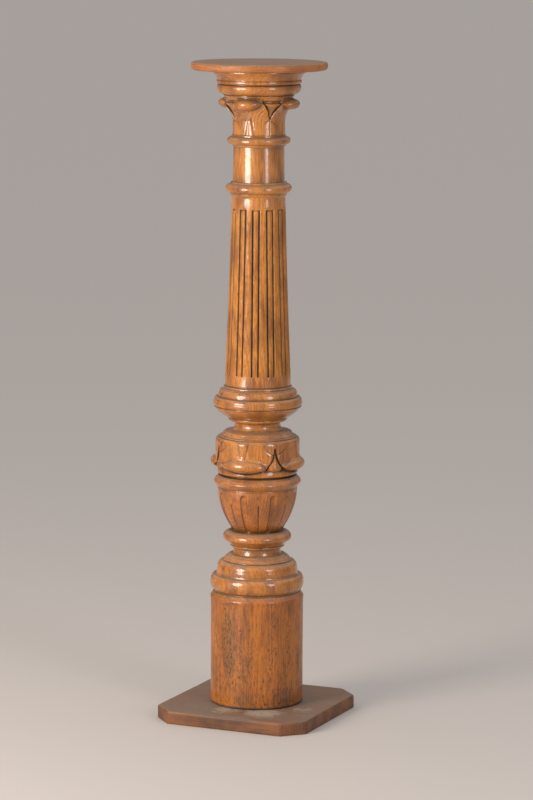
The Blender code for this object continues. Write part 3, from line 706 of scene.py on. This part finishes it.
topBoard = {
    "radius": 119.0, "low": 1136.2, "seed": 11,
    "columns": 168,
    # inset from the rim and height over the underside
    "section": [(119.0, 0.0), (60.0, 0.0), (20.0, 0.0), (9.0, 0.0), (5.4, 0.1), (3.4, 0.7), (1.9, 1.7),
                (0.9, 3.0), (0.25, 4.6), (0.0, 6.6), (0.0, 8.6), (0.15, 10.4), (0.55, 11.8), (1.2, 12.9),
                (2.1, 13.5), (3.4, 13.8), (6.0, 13.8), (12.0, 13.8), (24.0, 13.8), (45.0, 13.8),
                (75.0, 13.8), (119.0, 13.8)],
}


def unevenness(x, y, z, size, seed):  # -1 to 1
    return noise.noise(Vector((x / size + seed, y / size, z / size)))


def makeTopBoard(material):
    sizes = topBoard
    points, faces, rows = [], [], []
    for inset, rise in sizes["section"]:
        row = []
        for k in range(sizes["columns"]):
            angle = 2 * math.pi * k / sizes["columns"]
            radius = sizes["radius"] - inset
            c, s = math.cos(angle), math.sin(angle)
            worn = 0.0
            if inset < 8:
                slow = unevenness(90 * c, 90 * s, 0, 55, sizes["seed"])
                fast = unevenness(90 * c, 90 * s, rise * 1.6, 9, sizes["seed"] + 5)
                worn = 0.35 * (1 + slow) + 0.22 * (1 + fast) * (1.0 if rise > 11 or rise < 2.5 else 0.4)
            high = rise - (0.35 * worn if rise > 12 and 1 < inset < 8 else 0)
            if radius < 0.01 and row:
                break
            row.append(len(points))
            points.append(((radius - worn) * c, (radius - worn) * s, sizes["low"] + high))
        rows.append(row)
    for low, high in zip(rows, rows[1:]):
        count = sizes["columns"]
        for k in range(count):
            n = (k + 1) % count
            if len(low) == 1:
                faces.append((low[0], high[n], high[k]))
            elif len(high) == 1:
                faces.append((low[k], low[n], high[0]))
            else:
                faces.append((low[k], low[n], high[n], high[k]))
    mesh = bpy.data.meshes.new("topBoard")
    mesh.from_pydata((np.array(points) * mm).tolist(), [], faces)
    finishBoard(mesh, material)
    return addPiece("topBoard", mesh, "top_disc")


def finishBoard(mesh, material):
    mesh.update()
    walls = ([v.co[:] for v in mesh.vertices], [p.vertices[:] for p in mesh.polygons])
    occluded, rubbed = shelteredAndWorn(mesh, walls)
    writeAttribute(mesh, "sheltered", occluded)
    writeAttribute(mesh, "rubbed", rubbed)
    mesh.materials.append(material)
    for polygon in mesh.polygons:
        polygon.use_smooth = True


# Square base board with clipped corners

baseBoard = {
    "side": 285.5, "thickness": 23.6, "cornerClip": 35.4, "cornerRound": 2.4, "seed": 23,
    "alongSide": 52, "alongClip": 14,
    # inset from the edge and height over the floor
    "section": [(110.0, 0.0), (60.0, 0.0), (20.0, 0.0), (4.0, 0.0), (1.0, 0.0), (0.3, 0.5), (0.0, 1.4),
                (0.0, 5.0), (0.0, 9.0), (0.0, 13.0), (0.0, 17.0), (0.0, 20.6), (0.22, 21.9), (0.7, 22.8),
                (1.4, 23.35), (2.4, 23.6), (4.0, 23.6), (8.0, 23.6), (16.0, 23.6), (32.0, 23.6),
                (56.0, 23.6), (84.0, 23.6), (112.0, 23.6)],
}


def boardOutline(deep):
    sizes = baseBoard
    inset = min(deep, 30.0)  # further in, the outline only shrinks
    half = sizes["side"] / 2 - inset
    slant = (sizes["side"] - sizes["cornerClip"]) / math.sqrt(2) - inset
    short = math.sqrt(2) * slant - half
    corners = [(half, -short), (half, short), (short, half), (-short, half),
               (-half, short), (-half, -short), (-short, -half), (short, -half)]
    line = []
    for k in range(8):
        a, b = Vector(corners[k]), Vector(corners[(k + 1) % 8])
        before, after = Vector(corners[k - 1]), Vector(corners[(k + 2) % 8])
        cut = min(sizes["cornerRound"], (b - a).length * 0.3)
        start, end = a + (b - a).normalized() * cut, b + (a - b).normalized() * cut
        count = sizes["alongSide"] if k % 2 == 0 else sizes["alongClip"]
        line += [start.lerp(end, i / count) for i in range(count + 1)]
        out = b + (after - b).normalized() * cut
        line += [end.lerp(b, t).lerp(b.lerp(out, t), t) for t in (0.25, 0.5, 0.75)]
    shrink = (sizes["side"] / 2 - deep) / half
    return [p * shrink for p in line] if deep > inset else line


def makeBaseBoard(material):
    sizes = baseBoard
    points, faces, rows = [], [], []
    for inset, rise in sizes["section"]:
        row = []
        for p in boardOutline(inset):
            worn = 0.0
            if inset < 6 and rise > 0:
                slow = unevenness(p.x, p.y, 0, 60, sizes["seed"])
                fast = unevenness(p.x, p.y, rise * 2, 11, sizes["seed"] + 3)
                worn = 0.12 * (1 + fast) + (0.45 * (1 + slow) if rise > 21 and inset < 3 else 0)
            reach = 1 - worn / max(p.length, 1)
            sink = 0.35 * worn if 21 < rise and inset < 5 else 0
            row.append(len(points))
            points.append((p.x * reach, p.y * reach, rise - sink))
        rows.append(row)
    count = len(rows[0])
    for low, high in zip(rows, rows[1:]):
        faces += [(low[k], low[(k + 1) % count], high[(k + 1) % count], high[k]) for k in range(count)]
    for row, height, up in ((rows[0], 0.0, False), (rows[-1], sizes["thickness"], True)):
        middle = len(points)
        points.append((0.0, 0.0, height))
        for k in range(count):
            pair = (row[k], row[(k + 1) % count])
            faces.append((*pair, middle) if up else (*pair[::-1], middle))
    mesh = bpy.data.meshes.new("baseBoard")
    mesh.from_pydata((np.array(points) * mm).tolist(), [], faces)
    finishBoard(mesh, material)
    return addPiece("baseBoard", mesh, "base_board")


# Oak, turned, carved and scraped, under an old oil varnish. It gives the eye an orange body with faint upright
# streaks and growth rings, a wet gloss, dark lines of dirt and painted shade in each cut, and grey dust on each
# ledge.

varnishedPost = {
    # the film and dirt colours are real stains and dirt, and also the painted shade in corners and cuts
    "light": "#B66505", "dark": "#6E3505", "faded": "#CB8232", "pore": "#3A2413", "filmAndShade": "#5E4120",
    "dirtAndShade": "#2C1B0D", "dust": "#8C7A63", "worn": "#DB9A55", "scuff": "#A39380", "haze": "#986530",
    # mm up, and how far the stain has faded there, and how dull the varnish is
    "fading": [(0, 0.1), (215, 0.1), (232, 0.75), (318, 0.7), (334, 0.1), (398, 0.15), (412, 0.6),
               (520, 0.75), (560, 0.6), (640, 1.0), (930, 1.0), (1150, 0.9)],
    "dulling": [(0, 0.4), (212, 0.4), (225, 0.1), (596, 0.1), (612, 0.7), (892, 0.6), (908, 0.1), (1150, 0.1)],
    "grainTurn": (0.0, 0.0, 0.0), "pith": (55.0, 90.0, 0.0),  # mm
    "ringWidth": 4.2,  # mm between growth rings
    # mm across the grain, mm along it, and how much detail; oak's fibres are 0.02 mm and its pores 0.3 mm
    # across, and both are drawn coarser here, so that they show
    "patterns": {"wander": (45, 280, 2), "fibre": (0.9, 42, 2), "pore": (0.5, 9, 0), "fleck": (1.7, 6, 2),
                 "streak": (13, 150, 2), "blotch": (26, 60, 4), "patch": (7, 9, 3)},
    "ringTone": 0.16, "fibreTone": 0.48, "blotchTone": 0.5, "poreTone": 0.6, "fleckTone": 0.1,
    "footFlecks": 1.0, "shadeAtBoard": 0.9,
    # dark stains and pale scuffs: degrees round, mm out, mm up, mm across, mm high, strength
    "stains": [(60, 81, 40, 32, 24, 1.0), (-13, 81, 140, 20, 90, 0.95), (8, 81, 95, 26, 50, 0.55),
               (88, 81, 90, 12, 50, 0.5), (-32, 81, 90, 22, 95, 0.5), (20, 81, 40, 50, 22, 0.6),
               (170, 81, 60, 34, 40, 0.8), (235, 81, 140, 16, 60, 0.6)],
    "scuffs": [],
    "roughness": 0.31, "coat": 1.0, "coatRoughness": 0.1, "bump": 0.3, "lumps": 2.2,
    "dustOnTops": 0.75, "dustFrom": 0.6, "wipedTo": 0.6, "rubbedFrom": 0.3, "leastDirtAndShade": 0.5, "mostDirtAndShade": 0.92,
}
# Oak, sawn and planed flat, its varnish worn. It gives the eye long lines in a plain edge, and a dull brown top.
varnishedTop = dict(
    varnishedPost, light="#B9692A", dark="#85481C", faded="#BC7A45", dust="#8E7764",
    grainTurn=(0.0, halfPi, 0.3), pith=(30.0, 0.0, 160.0), coat=0.15, roughness=0.48,
    dustOnTops=0.95, dustFrom=0.45, wipedTo=0.7, dulling=[(0, 0.2), (1150, 0.2)],
    fibreTone=0.6, poreTone=0.4, fleckTone=0.04, footFlecks=0.04, stains=[],
    patterns={"wander": (60, 400, 2), "fibre": (0.8, 110, 2), "pore": (0.6, 38, 0), "fleck": (1.5, 46, 1),
              "streak": (16, 260, 2), "blotch": (34, 80, 4), "patch": (8, 12, 3)},
)
# Oak, planed and stained brown. It gives the eye a dark, nearly matt board with pale rubbed edges and scuffs.
stainedBoard = dict(
    varnishedPost, light="#834F2A", dark="#54331F", faded="#834F2A", worn="#B58F6C", dust="#7F6A58",
    grainTurn=(0.0, halfPi, 0.0), pith=(20.0, 0.0, 200.0), coat=0.2, coatRoughness=0.25, roughness=0.5,
    dustOnTops=0.8, dustFrom=0.45, wipedTo=0.35, rubbedFrom=0.2, dulling=[(0, 0.3), (1150, 0.3)],
    fleckTone=0.25, footFlecks=0.25, shadeAtBoard=0.0, blotchTone=0.9, stains=[],
    scuffs=[(30, 100, 24, 40, 12, 0.9), (-10, 98, 24, 30, 12, 0.7), (70, 112, 24, 22, 10, 0.6),
            (200, 110, 24, 45, 12, 0.6)],
    patterns=varnishedTop["patterns"],
)


def oakMaterial(name, look):
    material = bpy.data.materials.new(name)
    material.use_nodes = True
    tree = material.node_tree
    tree.nodes.clear()
    colours = {key: hexToLinear(value) for key, value in look.items() if str(value).startswith("#")}

    # places in mm, with Z along the grain
    place = addNode(tree, "ShaderNodeTexCoord").outputs["Object"]
    inMm = addNode(tree, "ShaderNodeMapping", {"Vector": place, "Scale": (1000, 1000, 1000)})
    grain = addNode(tree, "ShaderNodeMapping", {"Vector": inMm, "Rotation": look["grainTurn"]})
    noises = {}
    for pattern, (across, along, detail) in look["patterns"].items():
        size = (1 / across, 1 / across, 1 / along)
        spread = addNode(tree, "ShaderNodeMapping", {"Vector": grain, "Scale": size})
        noises[pattern] = addNode(tree, "ShaderNodeTexNoise", {
            "Vector": spread, "Scale": 1.0, "Detail": detail})

    # growth rings round a pith that stands off the middle
    fromPith = addNode(tree, vectorNode, {0: grain, 1: look["pith"]}, operation="SUBTRACT")
    flat = addNode(tree, vectorNode, {0: fromPith, 1: (1, 1, 0)}, operation="MULTIPLY")
    reach = addNode(tree, vectorNode, {0: flat}, operation="LENGTH")
    count = addNode(tree, mathNode, {0: reach, 1: look["ringWidth"]}, operation="DIVIDE")
    wavy = addNode(tree, mathNode, {0: noises["wander"], 1: 7.0, 2: count}, operation="MULTIPLY_ADD")
    ring = addNode(tree, mathNode, {0: wavy}, operation="FRACT")
    opens = addNode(tree, rangeNode, {0: ring, 1: 0.0, 2: 0.12}, **soft)
    closes = addNode(tree, rangeNode, {0: ring, 1: 0.3, 2: 0.75}, **soft)
    early = addNode(tree, mathNode, {0: opens, 1: closes}, operation="SUBTRACT")

    # body colour: rings, fibres and blotches of stain
    shade = addNode(tree, mathNode, {0: early, 1: look["ringTone"]}, operation="MULTIPLY")
    for pattern, low, high in (("fibre", 0.3, 0.72), ("blotch", 0.36, 0.68)):
        tone = look[pattern + "Tone"]
        part = addNode(tree, rangeNode, {0: noises[pattern], 1: low, 2: high, 4: tone}, **soft)
        shade = addNode(tree, mathNode, {0: shade, 1: part}, operation="ADD")
    shade = addNode(tree, mathNode, {0: shade, 1: 0.1}, operation="SUBTRACT", use_clamp=True)
    height = addNode(tree, "ShaderNodeSeparateXYZ", {0: inMm}).outputs["Z"]
    up = addNode(tree, mathNode, {0: height, 1: 1150.0}, operation="DIVIDE")
    byHeight = {}
    for kind in ("fading", "dulling"):
        byHeight[kind] = addNode(tree, "ShaderNodeFloatCurve", {"Value": up})
        curve = byHeight[kind].mapping.curves[0]
        for point, (place, amount) in zip(curve.points, (look[kind][0], look[kind][-1])):
            point.location = (place / 1150, amount)
        for place, amount in look[kind][1:-1]:
            curve.points.new(place / 1150, amount)
        for point in curve.points:
            point.handle_type = "VECTOR"
        byHeight[kind].mapping.update()
    fresh = addNode(tree, mixNode, {
        0: byHeight["fading"], 6: colours["light"], 7: colours["faded"]}, **inColour)
    colour = addNode(tree, mixNode, {0: shade, 6: fresh, 7: colours["dark"]}, **inColour)
    hazy = addNode(tree, rangeNode, {0: noises["patch"], 1: 0.42, 2: 0.62, 4: 0.4}, **soft)
    haze = addNode(tree, mathNode, {0: hazy, 1: byHeight["dulling"]}, operation="MULTIPLY")
    colour = addNode(tree, mixNode, {0: haze, 6: colour, 7: colours["haze"]}, **inColour)

    # open pores in the early wood, and dark flecks where the streaks gather, thickest low on the post
    pore = addNode(tree, rangeNode, {0: noises["pore"], 1: 0.58, 2: 0.7}, **soft)
    inRing = addNode(tree, rangeNode, {0: early, 3: 0.35, 4: 1.0})
    pores = addNode(tree, mathNode, {0: pore, 1: inRing}, operation="MULTIPLY")
    low = addNode(tree, rangeNode, {
        0: height, 1: 230.0, 2: 195.0, 3: look["fleckTone"], 4: look["footFlecks"]})
    fleck = addNode(tree, rangeNode, {0: noises["fleck"], 1: 0.56, 2: 0.67}, **soft)
    streak = addNode(tree, rangeNode, {0: noises["streak"], 1: 0.42, 2: 0.62, 3: 0.12})
    flecks = addNode(tree, mathNode, {0: fleck, 1: streak}, operation="MULTIPLY")
    flecks = addNode(tree, mathNode, {0: flecks, 1: low}, operation="MULTIPLY", use_clamp=True)
    holes = addNode(tree, mathNode, {
        0: pores, 1: look["poreTone"], 2: flecks}, operation="MULTIPLY_ADD", use_clamp=True)
    colour = addNode(tree, mixNode, {0: holes, 6: colour, 7: colours["pore"]}, **inColour)

    # edges rubbed pale
    rubbed = addNode(tree, attributeNode, attribute_name="rubbed").outputs["Fac"]
    least = look["rubbedFrom"]
    edge = addNode(tree, rangeNode, {0: rubbed, 1: least, 2: least + 0.2, 4: 0.75}, **soft)
    uneven = addNode(tree, rangeNode, {0: noises["patch"], 1: 0.38, 2: 0.6}, **soft)
    edge = addNode(tree, mathNode, {0: edge, 1: uneven}, operation="MULTIPLY")
    colour = addNode(tree, mixNode, {0: edge, 6: colour, 7: colours["worn"]}, **inColour)

    # dust on what faces up
    normal = addNode(tree, "ShaderNodeNewGeometry").outputs["Normal"]
    upward = addNode(tree, "ShaderNodeSeparateXYZ", {0: normal}).outputs["Z"]
    wavyUp = addNode(tree, mathNode, {0: noises["patch"], 1: 0.55, 2: upward}, operation="MULTIPLY_ADD")
    dusty = addNode(tree, rangeNode, {
        0: wavyUp, 1: look["dustFrom"] + 0.27, 2: 1.2, 4: look["dustOnTops"]}, **soft)
    wiped = addNode(tree, rangeNode, {0: noises["blotch"], 1: 0.36, 2: 0.62, 3: look["wipedTo"]})
    dusty = addNode(tree, mathNode, {0: dusty, 1: wiped}, operation="MULTIPLY")
    colour = addNode(tree, mixNode, {0: dusty, 6: colour, 7: colours["dust"]}, **inColour)

    # stains and scuffs, each a soft patch broken up by the fine noise
    masks = {}
    for kind in ("stains", "scuffs"):
        total = None
        for turn, out, up, across, tall, strength in look[kind]:
            middle = placeRound(turn, out, up)
            offset = addNode(tree, vectorNode, {0: inMm, 1: middle}, operation="SUBTRACT")
            share = addNode(tree, vectorNode, {0: offset, 1: (across, across, tall)}, operation="DIVIDE")
            away = addNode(tree, vectorNode, {0: share}, operation="LENGTH")
            spot = addNode(tree, rangeNode, {0: away, 1: 1.5, 2: 0.2, 4: strength}, **soft)
            if total is not None:
                spot = addNode(tree, mathNode, {0: total, 1: spot}, operation="MAXIMUM")
            total = spot
        if total is not None:
            broken = addNode(tree, mathNode, {
                0: noises["patch"], 1: 1.6, 2: total}, operation="MULTIPLY_ADD")
            masks[kind] = addNode(tree, rangeNode, {0: broken, 1: 1.05, 2: 1.75, 4: 0.8}, **soft)
    if "stains" in masks:
        thin = addNode(tree, mathNode, {0: masks["stains"], 1: 0.6}, operation="MULTIPLY")
        colour = addNode(tree, mixNode, {0: thin, 6: colour, 7: colours["filmAndShade"]}, **inColour)
        specks = addNode(tree, rangeNode, {0: noises["fleck"], 1: 0.5, 2: 0.62}, **soft)
        both = addNode(tree, mathNode, {0: masks["stains"], 1: specks}, operation="MULTIPLY")
        colour = addNode(tree, mixNode, {0: both, 6: colour, 7: colours["dirtAndShade"]}, **inColour)
    if "scuffs" in masks:
        colour = addNode(tree, mixNode, {0: masks["scuffs"], 6: colour, 7: colours["scuff"]}, **inColour)

    # painted shade and dirt in corners and cuts, from how sheltered each point is: a brown film, then nearly
    # black in the bottom
    sheltered = addNode(tree, attributeNode, attribute_name="sheltered").outputs["Fac"]
    hidden = addNode(tree, mathNode, {0: noises["patch"], 1: 0.22, 2: sheltered}, operation="MULTIPLY_ADD")
    filmAndShade = addNode(tree, rangeNode, {0: hidden, 1: 0.11, 2: 0.4, 4: 0.8}, **soft)
    corner = addNode(tree, rangeNode, {0: hidden, 1: 0.44, 2: 0.86}, **soft)
    cuts = addNode(tree, attributeNode, attribute_name="cuts").outputs["Fac"]
    cut = addNode(tree, rangeNode, {0: cuts, 1: 0.15, 2: 0.9}, **soft)
    deep = addNode(tree, mathNode, {0: corner, 1: cut}, operation="MAXIMUM")
    # painted shadow: a dark band at the bottom of the post, where it stands on the board
    foot = addNode(tree, rangeNode, {0: height, 1: 28.5, 2: 26.0, 4: look["shadeAtBoard"]})
    deep = addNode(tree, mathNode, {0: deep, 1: foot}, operation="MAXIMUM")
    # a fine cut is drawn dark, as dirt and painted shade, by its distance, so it stays sharp between the mesh's
    # points
    line = None
    for layer in ("cut", "nick"):
        side = addNode(tree, attributeNode, attribute_name=layer + "Side").outputs["Fac"]
        near = addNode(tree, mathNode, {0: side}, operation="ABSOLUTE")
        near = addNode(tree, mathNode, {0: noises["patch"], 1: 0.5, 2: near}, operation="MULTIPLY_ADD")
        thin = addNode(tree, rangeNode, {0: near, 1: 1.3, 2: 0.4}, **soft)
        amount = addNode(tree, attributeNode, attribute_name=layer + "Line").outputs["Fac"]
        drawn = addNode(tree, mathNode, {0: thin, 1: amount}, operation="MULTIPLY")
        if line is not None:
            drawn = addNode(tree, mathNode, {0: line, 1: drawn}, operation="MAXIMUM")
        line = drawn
    dirtAndShade = addNode(tree, mathNode, {0: deep, 1: line}, operation="MAXIMUM")
    # how dark the painted shade and dirt get varies in broad patches
    filled = addNode(tree, rangeNode, {
        0: noises["blotch"], 1: 0.38, 2: 0.6, 3: look["leastDirtAndShade"], 4: look["mostDirtAndShade"]})
    dirtAndShade = addNode(tree, mathNode, {0: dirtAndShade, 1: filled}, operation="MULTIPLY")
    filmAndShade = addNode(tree, mathNode, {0: filmAndShade, 1: dirtAndShade}, operation="MAXIMUM", use_clamp=True)
    colour = addNode(tree, mixNode, {0: filmAndShade, 6: colour, 7: colours["filmAndShade"]}, **inColour)
    colour = addNode(tree, mixNode, {0: dirtAndShade, 6: colour, 7: colours["dirtAndShade"]}, **inColour)

    # gloss: wet where the varnish lies clean, and dull under dust, dirt and the painted shade
    dull = addNode(tree, mathNode, {0: dusty, 1: dirtAndShade}, operation="MAXIMUM")
    veiled = addNode(tree, mathNode, {
        0: noises["patch"], 1: 0.6, 2: byHeight["dulling"]}, operation="MULTIPLY_ADD")
    veiled = addNode(tree, rangeNode, {0: veiled, 1: 0.35, 2: 1.1, 4: 0.9})
    dull = addNode(tree, mathNode, {0: dull, 1: veiled}, operation="MAXIMUM")
    coat = addNode(tree, rangeNode, {0: dull, 1: 0.0, 2: 0.8, 3: look["coat"], 4: 0.0})
    rough = addNode(tree, rangeNode, {0: dull, 3: look["roughness"], 4: 0.8})
    rough = addNode(tree, mathNode, {0: noises["fibre"], 1: 0.1, 2: rough}, operation="MULTIPLY_ADD")
    relief = addNode(tree, mathNode, {0: noises["fibre"], 1: 0.3}, operation="MULTIPLY")
    relief = addNode(tree, mathNode, {
        0: noises["patch"], 1: look["lumps"], 2: relief}, operation="MULTIPLY_ADD")
    relief = addNode(tree, mathNode, {0: holes, 1: -0.6, 2: relief}, operation="MULTIPLY_ADD")
    relief = addNode(tree, mathNode, {0: line, 1: -1.6, 2: relief}, operation="MULTIPLY_ADD")
    bump = addNode(tree, "ShaderNodeBump", {"Height": relief, "Strength": look["bump"], "Distance": 0.0004})
    shader = addNode(tree, "ShaderNodeBsdfPrincipled", {
        "Base Color": colour, "Roughness": rough, "Normal": bump,
        "Coat Weight": coat, "Coat Roughness": look["coatRoughness"]})
    addNode(tree, "ShaderNodeOutputMaterial", {"Surface": shader})
    return material


postOak = oakMaterial("oak turned and varnished golden", varnishedPost)
topOak = oakMaterial("oak planed and varnished, dulled on top", varnishedTop)
boardOak = oakMaterial("oak planed and stained, scuffed", stainedBoard)
print("three finishes of oak ready")

makePost(postOak)
makeTopBoard(topOak)
makeBaseBoard(boardOak)

# Floor, light and camera

stageLook = {
    "floor": "#C1B7AF", "sky": "#EEEFF2", "levelStrength": 0.16, "overheadStrength": 1.02,
    # degrees from the camera, and metres
    "leftLight": {
        "side": -50.0, "distance": 2.6, "height": 1.1, "size": (1.2, 1.6), "watts": 70.0, "colour": "#FFF6EA"},
    "rightLight": {
        "side": 36.0, "distance": 3.0, "height": 1.4, "size": (0.92, 1.5), "watts": 25.0, "colour": "#F6F7FF"},
}
photoView = {
    "azimuth": 24.1, "distance": 5.857, "height": 1.453,
    "yaw": 0.149, "pitch": 8.665, "roll": 0.269, "lens": 152.42,
}


def makeStage():
    mesh = bpy.data.meshes.new("floor")
    mesh.from_pydata([(-60, -60, 0), (60, -60, 0), (60, 60, 0), (-60, 60, 0)], [], [(0, 1, 2, 3)])
    floor = bpy.data.objects.new("floor", mesh)
    bpy.context.scene.collection.objects.link(floor)
    # Matt floor paint, rolled on. It gives the eye an even, pale ground with soft shadows and no reflection.
    material = bpy.data.materials.new("matt painted floor")
    material.use_nodes = True
    shader = material.node_tree.nodes["Principled BSDF"].inputs
    shader["Base Color"].default_value = hexToLinear(stageLook["floor"])
    shader["Roughness"].default_value = 0.75
    mesh.materials.append(material)
    world = bpy.data.worlds.new("pale room")
    world.use_nodes = True
    room = world.node_tree
    way = addNode(room, "ShaderNodeTexCoord").outputs["Generated"]
    upward = addNode(room, "ShaderNodeSeparateXYZ", {0: way}).outputs["Z"]
    background = room.nodes["Background"].inputs
    strength = addNode(room, rangeNode, {
        0: upward, 1: 0.0, 2: 0.9, 3: stageLook["levelStrength"], 4: stageLook["overheadStrength"]}, **soft)
    background["Color"].default_value = hexToLinear(stageLook["sky"])
    room.links.new(strength.outputs[0], background["Strength"])
    bpy.context.scene.world = world
    for name in ("leftLight", "rightLight"):
        look = stageLook[name]
        light = bpy.data.lights.new(name, "AREA")
        light.shape = "ELLIPSE"
        light.size, light.size_y = look["size"]
        light.energy = look["watts"]
        light.color = hexToLinear(look["colour"])[:3]
        lamp = bpy.data.objects.new(name, light)
        bpy.context.scene.collection.objects.link(lamp)
        lamp.location = placeRound(photoView["azimuth"] + look["side"], look["distance"], look["height"])
        toPost = Vector((0, 0, 0.6)) - lamp.location
        lamp.rotation_euler = toPost.to_track_quat("-Z", "Y").to_euler()
        lamp.visible_camera = False


def makeCamera():
    view = photoView
    yaw, pitch, roll = (math.radians(view[key]) for key in ("yaw", "pitch", "roll"))
    ahead = Vector((math.sin(yaw) * math.cos(pitch), math.cos(yaw) * math.cos(pitch), -math.sin(pitch)))
    level = Vector((math.cos(yaw), -math.sin(yaw), 0.0))
    upright = level.cross(ahead)
    right = math.cos(roll) * level + math.sin(roll) * upright
    up = math.cos(roll) * upright - math.sin(roll) * level
    turn = Matrix((right, up, -ahead)).transposed()
    around = Matrix.Rotation(math.radians(view["azimuth"]), 3, "Z")
    camera = bpy.data.cameras.new("photo view")
    camera.lens = view["lens"]
    camera.sensor_width = 36.0
    camera.clip_end = 200.0
    holder = bpy.data.objects.new("photo view", camera)
    bpy.context.scene.collection.objects.link(holder)
    holder.matrix_world = (around @ turn).to_4x4()
    holder.location = placeRound(view["azimuth"], view["distance"], view["height"])
    bpy.context.scene.camera = holder


makeStage()
makeCamera()
bpy.context.scene.view_settings.view_transform = "Standard"
print("stage and camera ready")
